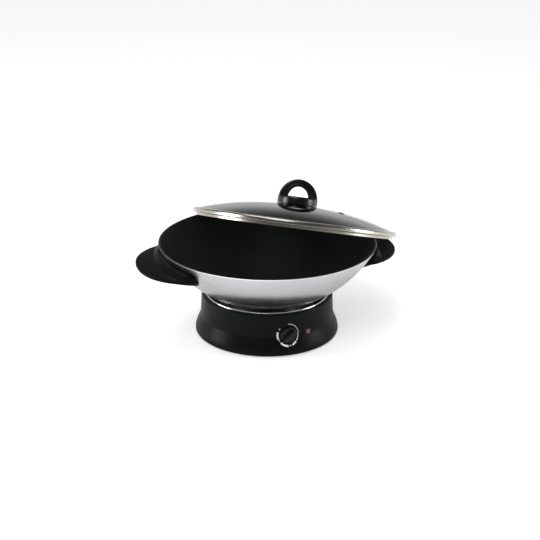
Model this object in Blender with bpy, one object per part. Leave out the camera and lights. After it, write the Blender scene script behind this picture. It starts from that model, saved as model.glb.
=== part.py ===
"""Electric wok: a heating base with a dial, a lift-off pan with two wing handles, and a glass lid left ajar.

Metres, +Z up. The origin is on the table plane, on the base's axis.
The dial faces -Y and the pan's handles lie along +X and -X.
"""

import math

import bmesh
import bpy
import numpy as np
from mathutils import Matrix, Vector

# Clearances
GAP = 0.0003
RUNNING_GAP = 0.0008
OVERRUN = 0.003

# Base housing
BASE_TOP = 0.070
BASE_TOP_RADIUS = 0.1098
BASE_LEAN = 0.0014
BASE_WAIST_HEIGHT = 0.032
BASE_SWELL = 0.0098
BASE_FLARE_BOTTOM = 0.0085
BASE_FLARE_SHAPE = 1.25
BASE_RING_SPREAD = 1.6
BASE_BOTTOM = 0.0015
BASE_BOTTOM_ROUND = 0.004
BASE_WALL = 0.0027
BASE_TOP_WALL = 0.0060
BASE_TOP_ROUND = 0.0030
LEDGE_WIDTH = 0.0053
LEDGE_DEPTH = 0.0078
LEDGE_THICKNESS = 0.0022

# Screw bosses, bottom cover and feet
BOSS_COUNT = 4
BOSS_INSET = 0.0040
BOSS_RADIUS = 0.0050
BOSS_TOP = 0.045
COVER_THICKNESS = 0.002
COVER_HEIGHT = 0.0030
COVER_PAD_RADIUS = 0.014
COVER_PAD_DEPTH = 0.0018
VENT_SLOT_COUNT = 8
VENT_SLOT_CIRCLE_RADIUS = 0.046
VENT_SLOT_LENGTH = 0.020
VENT_SLOT_WIDTH = 0.004
COVER_SCREW_RADIUS = 0.0014
COVER_SCREW_LENGTH = 0.014
COVER_SCREW_HEAD_RADIUS = 0.0030
COVER_SCREW_HEAD_HEIGHT = 0.0016
FOOT_COUNT = 4
FOOT_INSET = 0.0065
FOOT_RADIUS = 0.0085
FOOT_STEM_RADIUS = 0.0028
FOOT_STEM_HEIGHT = 0.0085

# Ring, dish, plate and element
RING_WIDTH = 0.0026
RING_PROUD = 0.0014
DISH_SHEET = 0.0009
DISH_SLOPE_RUN = 0.0150
DISH_WALL_GAP = 0.0015
PLATE_STAND = 0.0085
PLATE_MARGIN = 0.008
PLATE_THICKNESS = 0.0085
PLATE_ROUND = 0.0015
SPACER_COUNT = 3
SPACER_INSET = 0.008
SPACER_RADIUS = 0.004
ELEMENT_INSET = 0.013
ELEMENT_TUBE_RADIUS = 0.0034
ELEMENT_OPENING = math.radians(42)
ELEMENT_DROP = 0.013
ELEMENT_BEND = 0.008
ELEMENT_HOLE_MARGIN = 0.0026
TERMINAL_WIDTH = 0.0062
TERMINAL_THICKNESS = 0.0008
TERMINAL_LENGTH = 0.010

# Pan sensor
GUIDE_RADIUS = 0.0116
GUIDE_WALL = 0.0016
GUIDE_HOLE_MARGIN = 0.0012
GUIDE_DEPTH = 0.0135
GUIDE_FLANGE_WIDTH = 0.0049
GUIDE_FLANGE_THICKNESS = 0.0012
BUTTON_HEAD = 0.0032
BUTTON_STEM_RADIUS = 0.0028
BUTTON_STEM_LENGTH = 0.0125
SPRING_WIRE_RADIUS = 0.0006
SPRING_TURNS = 6

# Thermostat, dial and lamp
DIAL_RISE = 0.0035
THERMOSTAT_WIDTH = 0.032
THERMOSTAT_DEPTH = 0.016
THERMOSTAT_HEIGHT = 0.024
THERMOSTAT_NECK_RADIUS = 0.0048
SHAFT_RADIUS = 0.0030
SHAFT_SINK = 0.007
SHAFT_REACH = 0.008
DIAL_RADIUS = 0.0132
DIAL_SKIRT = 0.0045
DIAL_DEPTH = 0.0120
DIAL_WELL_WALL = 0.0020
DIAL_GRIP_WIDTH = 0.0082
DIAL_GRIP_NARROWING_SHARE = 0.72
DIAL_POINTER_TURN = math.radians(45)
LAMP_ANGLE = math.radians(-71)
LAMP_RISE = 0.0025
LAMP_LENS_SIDE = 0.0078
LAMP_LENS_PROUD = 0.0010
LAMP_HOLDER_MARGIN = 0.0026
LAMP_HOLDER_DEPTH = 0.0150
LAMP_HOLDER_WALL = 0.0015
LAMP_BULB_RADIUS = 0.0028
LAMP_BULB_LENGTH = 0.0080

# Supply side
GLAND_ANGLE = math.radians(90)
GLAND_RISE = 0.008
GLAND_NECK_RADIUS = 0.0055
GLAND_FLANGE_WIDTH = 0.0025
GLAND_FLANGE_THICKNESS = 0.0022
GLAND_NOSE = 0.0045
GLAND_WALL = 0.0019
BLOCK_WIDTH = 0.036
BLOCK_DEPTH = 0.015
BLOCK_HEIGHT = 0.013
BLOCK_DISTANCE = 0.066
BLOCK_HOLE_RADIUS = 0.0027
BLOCK_POLES = 3
FUSE_RADIUS = 0.0024
FUSE_LENGTH = 0.016
FUSE_DISTANCE = 0.058
FUSE_ANGLE = math.radians(52)
WIRE_RADIUS = 0.0013

# Bowl of the pan: a spherical wall with a flat floor
RIM_RADIUS = 0.180
PAN_SINK = 0.0109
BOWL_FLATNESS = 0.024
BOWL_WALL = 0.0034
PAN_NEST_GAP = 0.0129
FLOOR_BLEND_WIDTH = 0.030
FLOOR_BLEND_DROP = 0.01086
FLOOR_BLEND_STEPS = 3
BASE_DISC_MARGIN = 0.002
BASE_DISC_THICKNESS = 0.003

# Wing handles of the pan
HANDLE_OVERHANG = 0.0394
HANDLE_DROP = 0.0216
HANDLE_SPREAD = math.radians(31)
HANDLE_END_SHARE = 0.985
HANDLE_PLATE_THICKNESS = 0.006
HANDLE_ROOT_RISE = 0.0075
HANDLE_ROOT_WIDTH = 0.0085
HANDLE_STEP_WIDTH = 0.0075
HANDLE_EDGE_ROUND = 0.0018
HANDLE_LIP_DEPTH = 0.0085
HANDLE_LIP_INSET = 0.016
HANDLE_TIP_BLUNTNESS = 2.35
HANDLE_SEAT_GAP = 0.0004

# Bracket strap and screws that hold each handle
BRACKET_SPREAD = math.radians(15)
BRACKET_THICKNESS = 0.0022
BRACKET_DROP = 0.0020
BRACKET_HEIGHT = 0.0100
HANDLE_SCREW_ANGLE = math.radians(9)
HANDLE_SCREW_RADIUS = 0.0018
HANDLE_SCREW_HEAD_RADIUS = 0.0036
HANDLE_SCREW_HEAD_HEIGHT = 0.0022
HANDLE_SCREW_START = 0.0019
HANDLE_SCREW_LENGTH = 0.012
HANDLE_SCREW_DROP = 0.0080

# Lid: a glass dome in a steel rim with a locating skirt
LID_INSET = 0.0015
LID_RIM_HEIGHT = 0.0078
LID_RIM_METAL = 0.0010
LID_RIM_FOLD = 0.0050
LID_RIM_ROUND = 0.0022
SKIRT_INSET = 0.0060
SKIRT_DEPTH = 0.0045
GLASS_THICKNESS = 0.004
GLASS_EDGE_HEIGHT = 0.0056
DOME_HEIGHT = 0.029
DOME_SHAPE = 2.26
GLASS_HOLE_RADIUS = 0.0045
GLASS_RING_SPREAD = 1.15
VENT_DISTANCE = 0.088
VENT_ANGLE = math.radians(-31)
VENT_RADIUS = 0.0042
VENT_BORE_RADIUS = 0.0012
VENT_FLANGE = 0.0022
VENT_FLANGE_THICKNESS = 0.0010

# How the lid lies on the pan
LID_SHIFT = 0.130
LID_SHIFT_DIRECTION = math.radians(51)
LID_TURN = math.radians(-18)
LID_REST_GAP = 0.0005
LID_STEEPEST = math.radians(30)

# Arch handle of the lid
KNOB_FOOT_RADIUS = 0.0352
KNOB_FOOT_HEIGHT = 0.0110
KNOB_FOOT_ROUND = 0.0040
KNOB_SEAT_INSET = 0.0035
KNOB_SEAT_THICKNESS = 0.0016
ARCH_INSET = 0.0010
ARCH_HEIGHT = 0.0415
ARCH_THICKNESS = 0.0130
ARCH_LEG_SWELL = 0.0030
ARCH_DEPTH = 0.023
ARCH_EDGE = 0.0020
ARCH_RIBS = 3
ARCH_GROOVE_WIDTH = 0.0026
ARCH_GROOVE_DEPTH = 0.0014
LID_SCREW_RADIUS = 0.0024
LID_SCREW_LENGTH = 0.015
LID_SCREW_HEAD_RADIUS = 0.0045
LID_SCREW_HEAD_HEIGHT = 0.0026
LID_WASHER_RADIUS = 0.0115
LID_WASHER_THICKNESS = 0.0016

# Facets
BASE_SIDES = 48
PAN_SIDES = 54
LID_SIDES = 46
RING_SIDES = 40
KNOB_SIDES = 32
SMALL_SIDES = 16
TINY_SIDES = 10

# Sizes that follow from the ones above
FRONT = math.radians(-90)
BASE_WAIST_RADIUS = BASE_TOP_RADIUS + BASE_LEAN
BASE_MOUTH_RADIUS = BASE_TOP_RADIUS - BASE_TOP_WALL
LEDGE_RADIUS = BASE_MOUTH_RADIUS - LEDGE_WIDTH
LEDGE_TOP = BASE_TOP - LEDGE_DEPTH
BOSS_CIRCLE_RADIUS = BASE_WAIST_RADIUS - BASE_WALL - BOSS_INSET
FOOT_CIRCLE_RADIUS = BOSS_CIRCLE_RADIUS - FOOT_INSET
COVER_TOP = COVER_HEIGHT + COVER_THICKNESS
RING_OUTER_RADIUS = BASE_MOUTH_RADIUS - GAP
RING_INNER_RADIUS = RING_OUTER_RADIUS - RING_WIDTH
RING_TOP = BASE_TOP + RING_PROUD
DIAL_HEIGHT = BASE_WAIST_HEIGHT + DIAL_RISE
LAMP_HEIGHT = BASE_WAIST_HEIGHT + LAMP_RISE
GLAND_HEIGHT = BASE_WAIST_HEIGHT + GLAND_RISE
FLOOR_HEIGHT = BASE_TOP - PAN_SINK
FLOOR_BLEND_RADIUS = RING_INNER_RADIUS - PAN_NEST_GAP
FLOOR_EDGE_RADIUS = FLOOR_BLEND_RADIUS - FLOOR_BLEND_WIDTH
BOWL_SPHERE_RADIUS = RIM_RADIUS + BOWL_FLATNESS
SPHERE_HEIGHT = FLOOR_HEIGHT + FLOOR_BLEND_DROP + math.sqrt(BOWL_SPHERE_RADIUS**2 - FLOOR_BLEND_RADIUS**2)
RIM_HEIGHT = SPHERE_HEIGHT - math.sqrt(BOWL_SPHERE_RADIUS**2 - RIM_RADIUS**2)
BASE_DISC_RADIUS = FLOOR_EDGE_RADIUS + BASE_DISC_MARGIN
BASE_DISC_BOTTOM = FLOOR_HEIGHT - GAP - BASE_DISC_THICKNESS
PLATE_RADIUS = BASE_DISC_RADIUS + PLATE_MARGIN
PLATE_TOP = BASE_DISC_BOTTOM - GAP
PLATE_BOTTOM = PLATE_TOP - PLATE_THICKNESS
PLATE_HOLE_RADIUS = GUIDE_RADIUS + GUIDE_HOLE_MARGIN
SPACER_CIRCLE_RADIUS = PLATE_RADIUS - SPACER_INSET
ELEMENT_CIRCLE_RADIUS = SPACER_CIRCLE_RADIUS - ELEMENT_INSET
DISH_WALL_TOP_RADIUS = LEDGE_RADIUS - DISH_WALL_GAP
DISH_FLOOR_RADIUS = DISH_WALL_TOP_RADIUS - DISH_SLOPE_RUN
DISH_FLOOR_HEIGHT = PLATE_BOTTOM - PLATE_STAND
DISH_FLOOR_TOP = DISH_FLOOR_HEIGHT + DISH_SHEET
ELEMENT_HEIGHT = PLATE_BOTTOM - GAP - ELEMENT_TUBE_RADIUS
ELEMENT_HOLE_RADIUS = ELEMENT_TUBE_RADIUS + ELEMENT_HOLE_MARGIN
GUIDE_BOTTOM = DISH_FLOOR_HEIGHT - GUIDE_DEPTH
GUIDE_FLOOR = GUIDE_BOTTOM + GUIDE_WALL
GUIDE_FLANGE_RADIUS = GUIDE_RADIUS + GUIDE_FLANGE_WIDTH
BUTTON_RADIUS = GUIDE_RADIUS - GUIDE_WALL - RUNNING_GAP
SPRING_RADIUS = (BUTTON_STEM_RADIUS + BUTTON_RADIUS) / 2
LAMP_HOLDER_SIDE = LAMP_LENS_SIDE + 2 * LAMP_HOLDER_MARGIN
GLAND_FLANGE_RADIUS = GLAND_NECK_RADIUS + GLAND_FLANGE_WIDTH
GLAND_BORE_RADIUS = GLAND_NECK_RADIUS - GLAND_WALL
HANDLE_TIP_RADIUS = RIM_RADIUS + HANDLE_OVERHANG
HANDLE_TOP_HEIGHT = RIM_HEIGHT - HANDLE_DROP
HANDLE_ROOT_TOP = HANDLE_TOP_HEIGHT + HANDLE_ROOT_RISE
BRACKET_TOP = HANDLE_TOP_HEIGHT - BRACKET_DROP
BRACKET_BOTTOM = BRACKET_TOP - BRACKET_HEIGHT
HANDLE_SCREW_LEVEL = BRACKET_TOP - HANDLE_SCREW_DROP
LID_RADIUS = RIM_RADIUS - LID_INSET
SKIRT_RADIUS = LID_RADIUS - SKIRT_INSET
KNOB_SEAT_RADIUS = KNOB_FOOT_RADIUS - KNOB_SEAT_INSET
ARCH_HALF_WIDTH = KNOB_FOOT_RADIUS - ARCH_INSET


# Materials

def material(name, colour, roughness, metallic=0.0, alpha=1.0):
    made = bpy.data.materials.new(name)
    made.use_nodes = True
    shader = made.node_tree.nodes["Principled BSDF"]
    shader.inputs["Base Color"].default_value = (*colour, 1.0)
    shader.inputs["Roughness"].default_value = roughness
    shader.inputs["Metallic"].default_value = metallic
    shader.inputs["Alpha"].default_value = alpha
    made.diffuse_color = (*colour, alpha)
    return made


# Making and placing solids

def add_object(name, mesh_data, look, parent=None):
    mesh = bpy.data.meshes.new(name)
    bmesh.ops.recalc_face_normals(mesh_data, faces=mesh_data.faces)
    mesh_data.to_mesh(mesh)
    mesh_data.free()
    mesh.materials.append(look)
    mesh.shade_smooth()
    mesh.set_sharp_from_angle(angle=math.radians(35))
    made = bpy.data.objects.new(name, mesh)
    bpy.context.scene.collection.objects.link(made)
    made.parent = parent
    return made


def add_empty(name, matrix=None, parent=None):
    made = bpy.data.objects.new(name, None)
    bpy.context.scene.collection.objects.link(made)
    made.parent = parent
    made.matrix_basis = matrix or Matrix.Identity(4)
    return made


def turned_mesh(outline, sides):
    """Spin a closed outline of (radius, height) points once round Z."""
    mesh = bmesh.new()
    points = [mesh.verts.new((radius, 0, height)) for radius, height in outline]
    pairs = zip(points, points[1:] + points[:1])
    edges = [mesh.edges.new((a, b)) for a, b in pairs if max(a.co.x, b.co.x) > GAP / 1000]
    bmesh.ops.spin(
        mesh,
        geom=points + edges,
        cent=(0, 0, 0),
        axis=(0, 0, 1),
        angle=math.tau,
        steps=sides,
        use_merge=True,
    )
    bmesh.ops.remove_doubles(mesh, verts=mesh.verts, dist=GAP / 1000)
    half_step = Matrix.Rotation(math.pi / sides, 3, "Z")
    bmesh.ops.rotate(mesh, verts=mesh.verts, cent=(0, 0, 0), matrix=half_step)
    return mesh


def turned(name, outline, sides, look, parent=None):
    return add_object(name, turned_mesh(outline, sides), look, parent)


def rod_outline(radius, bottom, top):
    return [(0, bottom), (radius, bottom), (radius, top), (0, top)]


def tube_outline(inner, outer, bottom, top):
    return [(inner, bottom), (outer, bottom), (outer, top), (inner, top)]


def prism_mesh(outline, bottom, top):
    """Raise a flat outline of (x, y) points from one height to another."""
    mesh = bmesh.new()
    face = mesh.faces.new([mesh.verts.new((x, y, bottom)) for x, y in outline])
    raised = bmesh.ops.extrude_face_region(mesh, geom=[face])["geom"]
    moved = [item for item in raised if isinstance(item, bmesh.types.BMVert)]
    bmesh.ops.translate(mesh, verts=moved, vec=(0, 0, top - bottom))
    return mesh


def rectangle(width, depth):
    corners = [(-1, -1), (1, -1), (1, 1), (-1, 1)]
    return [(x * width / 2, y * depth / 2) for x, y in corners]


def box(name, width, depth, bottom, top, look, parent=None):
    return add_object(name, prism_mesh(rectangle(width, depth), bottom, top), look, parent)


def lofted_mesh(rings, looped=False):
    """Join closed rings of points one after another, and cap the two ends."""
    mesh = bmesh.new()
    made = [[mesh.verts.new(point) for point in ring] for ring in rings]
    pairs = list(zip(made, made[1:] + made[:1])) if looped else list(zip(made, made[1:]))
    for near, far in pairs:
        count = len(near)
        for i in range(count):
            j = (i + 1) % count
            mesh.faces.new((near[i], near[j], far[j], far[i]))
    if not looped:
        mesh.faces.new(made[0])
        mesh.faces.new(made[-1])
    return mesh


def wire(name, points, radius, sides_level, look, parent=None):
    """A round wire along points, with closed ends."""
    curve = bpy.data.curves.new(name, "CURVE")
    curve.dimensions = "3D"
    curve.bevel_depth = radius
    curve.bevel_resolution = sides_level
    curve.use_fill_caps = True
    line = curve.splines.new("POLY")
    line.points.add(len(points) - 1)
    for point, place in zip(line.points, points):
        point.co = (*place, 1)
    curve.materials.append(look)
    made = bpy.data.objects.new(name, curve)
    bpy.context.scene.collection.objects.link(made)
    made.parent = parent
    return made


def smooth_route(stops, steps):
    """Points on one smooth curve through the stops, straight out of both ends."""
    places = [Vector(stop) for stop in stops]
    ends = [2 * places[0] - places[1], *places, 2 * places[-1] - places[-2]]
    route = []
    for i in range(len(places) - 1):
        a, b, c, d = ends[i : i + 4]
        for k in range(steps):
            t = k / steps
            bend = (2 * a - 5 * b + 4 * c - d) * t**2
            twist = (3 * b - a - 3 * c + d) * t**3
            route.append((2 * b + (c - a) * t + bend + twist) / 2)
    return [*route, places[-1]]


def cutter(name, mesh_data, look, parent=None):
    made = add_object(name, mesh_data, look, parent)
    made.hide_render = True
    made.display_type = "WIRE"
    return made


def combine(target, tool, operation):
    change = target.modifiers.new(tool.name, "BOOLEAN")
    change.operation = operation
    change.solver = "EXACT"
    change.object = tool


def cut(target, tool):
    combine(target, tool, "DIFFERENCE")


def join(target, tool):
    combine(target, tool, "UNION")


# Outlines

def arc(centre, radius, start, end, steps):
    """Points on an arc in the outline plane, both ends included."""
    angles = [start + (end - start) * i / steps for i in range(steps + 1)]
    return [(centre[0] + radius * math.cos(a), centre[1] + radius * math.sin(a)) for a in angles]


def on_axis(angle, distance, height=0.0):
    """A place beside the Z axis, with the local X axis pointing outwards."""
    place = Vector((distance * math.cos(angle), distance * math.sin(angle), height))
    return Matrix.Translation(place) @ Matrix.Rotation(angle, 4, "Z")


def outward_axis(angle, distance, height):
    """A frame whose local Z axis points straight out of the side of the base."""
    return on_axis(angle, distance, height) @ Matrix.Rotation(math.radians(90), 4, "Y")


# Bowl of the pan

def sphere_radius_at(height, offset=0.0):
    reach = BOWL_SPHERE_RADIUS + offset
    return math.sqrt(reach**2 - (SPHERE_HEIGHT - height) ** 2)


def bowl_line(offset, floor, rim_steps):
    """The bowl's section from its rim to its middle, on a sphere moved by the offset."""
    reach = BOWL_SPHERE_RADIUS + offset
    edge_angle = math.asin((SPHERE_HEIGHT - RIM_HEIGHT) / reach)
    blend_angle = math.acos(FLOOR_BLEND_RADIUS / reach)
    line = arc((0, SPHERE_HEIGHT), reach, -edge_angle, -blend_angle, rim_steps)
    end = Vector(line[-1])
    slope = end.x / (SPHERE_HEIGHT - end.y)
    corner = Vector((end.x - (end.y - floor) / slope, floor))
    start = Vector((FLOOR_EDGE_RADIUS, floor))
    for i in range(FLOOR_BLEND_STEPS):
        t = (i + 1) / FLOOR_BLEND_STEPS
        point = end * (1 - t) ** 2 + corner * 2 * t * (1 - t) + start * t**2
        line.append((point.x, point.y))
    return [*line, (0, floor)]


def build_bowl(parent, look):
    outside = bowl_line(0, FLOOR_HEIGHT, 7)
    inside = bowl_line(-BOWL_WALL, FLOOR_HEIGHT + BOWL_WALL, 6)
    turned("pan_bowl", outside + inside[::-1], PAN_SIDES, look, parent)


def build_base_disc(parent, look):
    top = FLOOR_HEIGHT - GAP
    outline = [
        (0, BASE_DISC_BOTTOM),
        (BASE_DISC_RADIUS - GAP, BASE_DISC_BOTTOM),
        (BASE_DISC_RADIUS, BASE_DISC_BOTTOM + GAP),
        (BASE_DISC_RADIUS, top - GAP),
        (BASE_DISC_RADIUS - GAP, top),
        (0, top),
    ]
    turned("pan_base_disc", outline, RING_SIDES, look, parent)


# Wing handles

def handle_reach(angle):
    """How far out the wing goes at an angle from the handle's middle line."""
    root = sphere_radius_at(HANDLE_TOP_HEIGHT) + HANDLE_ROOT_WIDTH
    share = 1 - (abs(angle) / HANDLE_SPREAD) ** HANDLE_TIP_BLUNTNESS
    return root + (HANDLE_TIP_RADIUS - root) * max(share, 0.0)


def handle_section(angle):
    """The handle's section at an angle, as (radius, height) points."""
    tip = handle_reach(angle)
    plate_bottom = HANDLE_TOP_HEIGHT - HANDLE_PLATE_THICKNESS
    fade = min((tip - sphere_radius_at(HANDLE_TOP_HEIGHT)) / (HANDLE_ROOT_WIDTH + HANDLE_STEP_WIDTH), 1.0)
    bottom = plate_bottom - HANDLE_LIP_DEPTH * fade**3
    root_top = HANDLE_TOP_HEIGHT + (HANDLE_ROOT_TOP - HANDLE_TOP_HEIGHT) * fade**2
    levels = [bottom + (root_top - bottom) * i / 4 for i in range(5)]
    inner = [(sphere_radius_at(level, HANDLE_SEAT_GAP), level) for level in levels]
    root_edge = inner[-1][0] + HANDLE_ROOT_WIDTH * fade
    step_edge = min(root_edge + HANDLE_STEP_WIDTH * fade, tip - HANDLE_EDGE_ROUND)
    root_edge = min(root_edge, step_edge - GAP)
    inset = HANDLE_LIP_INSET * fade
    lip_edge = max(tip - inset, sphere_radius_at(plate_bottom, HANDLE_SEAT_GAP) + HANDLE_EDGE_ROUND)
    foot_edge = max(lip_edge - HANDLE_LIP_DEPTH, inner[0][0] + HANDLE_EDGE_ROUND)
    plate_edge = max(tip - HANDLE_EDGE_ROUND, lip_edge + GAP)
    return inner + [
        (root_edge, root_top),
        (step_edge, HANDLE_TOP_HEIGHT + GAP / 10),
        (tip - HANDLE_EDGE_ROUND, HANDLE_TOP_HEIGHT),
        (tip, HANDLE_TOP_HEIGHT - HANDLE_EDGE_ROUND),
        (tip, plate_bottom + HANDLE_EDGE_ROUND),
        (plate_edge, plate_bottom),
        (lip_edge, plate_bottom - GAP / 10),
        (foot_edge, bottom),
    ]


def radial_ring(section, angle):
    return [(radius * math.cos(angle), radius * math.sin(angle), height) for radius, height in section]


def build_handle(side, parent, look):
    """One wing handle, in a frame turned to its side of the pan."""
    steps = 20
    spread = HANDLE_SPREAD * HANDLE_END_SHARE
    stations = [spread * (2 * i / steps - 1) for i in range(steps + 1)]
    rings = [radial_ring(handle_section(angle), angle) for angle in stations]
    handle = add_object(f"handle_{side}", lofted_mesh(rings), look, parent)
    inner = HANDLE_SEAT_GAP - OVERRUN
    outer = HANDLE_SEAT_GAP + BRACKET_THICKNESS + GAP
    pocket = bracket_mesh(inner, outer, BRACKET_SPREAD + GAP / RIM_RADIUS, GAP)
    cut(handle, cutter(f"pocket_{side}", pocket, look, parent))
    for place in screw_frames():
        hole = turned_mesh(rod_outline(HANDLE_SCREW_RADIUS + GAP, -OVERRUN, HANDLE_TIP_RADIUS), TINY_SIDES)
        tool = cutter(f"hole_{side}", hole, look, parent)
        tool.matrix_basis = place
        cut(handle, tool)
        head_room = rod_outline(HANDLE_SCREW_HEAD_RADIUS + GAP, HANDLE_SCREW_LENGTH - GAP, HANDLE_TIP_RADIUS)
        seat = turned_mesh(head_room, TINY_SIDES)
        tool = cutter(f"seat_{side}", seat, look, parent)
        tool.matrix_basis = place
        cut(handle, tool)
    return handle


def bracket_mesh(inner, outer, spread, margin):
    """A strap that follows the bowl, between two distances from its wall."""
    levels = [BRACKET_BOTTOM - margin, (BRACKET_BOTTOM + BRACKET_TOP) / 2, BRACKET_TOP + margin]
    near = [(sphere_radius_at(level, inner), level) for level in levels]
    far = [(sphere_radius_at(level, outer), level) for level in levels]
    section = near + far[::-1]
    steps = 8
    angles = [spread * (2 * i / steps - 1) for i in range(steps + 1)]
    return lofted_mesh([radial_ring(section, angle) for angle in angles])


def screw_frames():
    """Frames of a handle's two screws: local Z points out from the bowl through the bracket."""
    start = sphere_radius_at(HANDLE_SCREW_LEVEL, HANDLE_SEAT_GAP)
    return [outward_axis(sign * HANDLE_SCREW_ANGLE, start, HANDLE_SCREW_LEVEL) for sign in (-1, 1)]


def build_bracket(side, parent, look):
    inner = HANDLE_SEAT_GAP - GAP / 3
    strap = add_object(
        f"handle_bracket_{side}",
        bracket_mesh(inner, HANDLE_SEAT_GAP + BRACKET_THICKNESS, BRACKET_SPREAD, 0),
        look,
        parent,
    )
    reach = OVERRUN + 2 * BRACKET_THICKNESS
    for place in screw_frames():
        hole = turned_mesh(rod_outline(HANDLE_SCREW_RADIUS + GAP, -OVERRUN, reach), TINY_SIDES)
        tool = cutter(f"strap_hole_{side}", hole, look, parent)
        tool.matrix_basis = place
        cut(strap, tool)


def build_handle_screws(side, parent, look):
    head_top = HANDLE_SCREW_LENGTH + HANDLE_SCREW_HEAD_HEIGHT
    outline = [
        (0, HANDLE_SCREW_START),
        (HANDLE_SCREW_RADIUS, HANDLE_SCREW_START),
        (HANDLE_SCREW_RADIUS, HANDLE_SCREW_LENGTH),
        (HANDLE_SCREW_HEAD_RADIUS, HANDLE_SCREW_LENGTH),
        (HANDLE_SCREW_HEAD_RADIUS, head_top - HANDLE_SCREW_HEAD_HEIGHT / 2),
        (HANDLE_SCREW_RADIUS, head_top),
        (0, head_top),
    ]
    for number, place in enumerate(screw_frames(), 1):
        screw = turned(f"handle_screw_{side}_{number}", outline, TINY_SIDES, look, parent)
        screw.matrix_basis = place


# Lid, in its own frame: the flat underside of the steel rim is at height zero

def glass_top(radius):
    return GLASS_EDGE_HEIGHT + DOME_HEIGHT * (1 - (radius / LID_RADIUS) ** DOME_SHAPE)


def glass_bottom(radius):
    return glass_top(radius) - GLASS_THICKNESS


def circle_points(radius, height, angles):
    return np.stack([radius * np.cos(angles), radius * np.sin(angles), np.full_like(angles, height)], 1)


def skirt_line():
    """The skirt's lower edge and the rim's underside, as circles of points that could touch the pan."""
    angles = np.linspace(0, math.tau, 721)
    circles = [
        (SKIRT_RADIUS, -SKIRT_DEPTH),
        (SKIRT_RADIUS - LID_RIM_METAL, -SKIRT_DEPTH),
        (LID_RADIUS, 0.0),
        (SKIRT_RADIUS, 0.0),
    ]
    return np.concatenate([circle_points(radius, height, angles) for radius, height in circles])


def lip_line():
    """The two edges of the pan's rim as circles of points."""
    angles = np.linspace(0, math.tau, 721)
    inner = sphere_radius_at(RIM_HEIGHT, -BOWL_WALL)
    return np.concatenate([circle_points(radius, RIM_HEIGHT, angles) for radius in (inner, RIM_RADIUS)])


def height_on_rim(tilt):
    """The lid's height when its skirt lies on the pan's rim at this tilt, the shift being along +X."""
    points = skirt_line()
    along = LID_SHIFT + points[:, 0] * math.cos(tilt) + points[:, 2] * math.sin(tilt)
    up = points[:, 2] * math.cos(tilt) - points[:, 0] * math.sin(tilt)
    reach = np.hypot(along, points[:, 1])
    inner = sphere_radius_at(RIM_HEIGHT, -BOWL_WALL) - RUNNING_GAP
    over_rim = (reach > inner) & (reach < RIM_RADIUS + RUNNING_GAP)
    return RIM_HEIGHT + LID_REST_GAP - up[over_rim].min()


def glass_clearance(tilt):
    """The least room between the pan's rim and the glass above it at this tilt."""
    points = lip_line()
    along = points[:, 0] - LID_SHIFT
    up = points[:, 2] - height_on_rim(tilt)
    local_x = along * math.cos(tilt) - up * math.sin(tilt)
    local_z = along * math.sin(tilt) + up * math.cos(tilt)
    radius = np.hypot(local_x, points[:, 1])
    under_glass = radius < SKIRT_RADIUS - LID_RIM_METAL - RUNNING_GAP
    return (glass_bottom(radius) - local_z)[under_glass].min() - LID_REST_GAP


def lid_frame():
    """The lid tips back until the glass meets the pan's far rim: find that tilt by halving."""
    low, high = 0.0, LID_STEEPEST
    for _ in range(40):
        middle = (low + high) / 2
        if glass_clearance(middle) > 0:
            low = middle
        else:
            high = middle
    direction = Vector((math.cos(LID_SHIFT_DIRECTION), math.sin(LID_SHIFT_DIRECTION), 0))
    place = direction * LID_SHIFT + Vector((0, 0, height_on_rim(low)))
    tip = Matrix.Rotation(low, 4, Vector((0, 0, 1)).cross(direction))
    return Matrix.Translation(place) @ tip @ Matrix.Rotation(LID_TURN, 4, "Z")


def build_glass(parent, look):
    edge = LID_RADIUS - LID_RIM_METAL - GAP
    steps = 7
    span = GLASS_HOLE_RADIUS - edge
    stations = [edge + span * (i / steps) ** GLASS_RING_SPREAD for i in range(steps + 1)]
    top = [(radius, glass_top(radius)) for radius in stations]
    bottom = [(radius, glass_bottom(radius)) for radius in stations]
    glass = turned("lid_glass", top + bottom[::-1], LID_SIDES, look, parent)
    hole_top = DOME_HEIGHT + LID_RIM_HEIGHT + OVERRUN
    hole = turned_mesh(rod_outline(VENT_RADIUS, -OVERRUN, hole_top), SMALL_SIDES)
    tool = cutter("vent_hole", hole, look, parent)
    tool.matrix_basis = on_axis(VENT_ANGLE, VENT_DISTANCE)
    cut(glass, tool)


def build_rim(parent, look):
    """Steel strip folded over the glass edge, with a flat underside and a skirt."""
    fold_end = LID_RADIUS - LID_RIM_FOLD
    edge_in = LID_RADIUS - LID_RIM_METAL
    fold_under = glass_top(fold_end) + GAP
    corner = LID_RIM_HEIGHT - LID_RIM_ROUND
    outline = [
        (SKIRT_RADIUS - LID_RIM_METAL, -SKIRT_DEPTH),
        (SKIRT_RADIUS, -SKIRT_DEPTH),
        (SKIRT_RADIUS, 0),
        (LID_RADIUS - LID_RIM_METAL / 2, 0),
        (LID_RADIUS, LID_RIM_METAL / 2),
        *arc((LID_RADIUS - LID_RIM_ROUND, corner), LID_RIM_ROUND, 0, math.radians(70), 3),
        (fold_end, fold_under + LID_RIM_METAL),
        (fold_end, fold_under),
        (edge_in, glass_top(edge_in) + GAP),
        (edge_in, LID_RIM_METAL),
        (SKIRT_RADIUS - LID_RIM_METAL, LID_RIM_METAL),
    ]
    turned("lid_rim", outline, LID_SIDES, look, parent)


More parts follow.
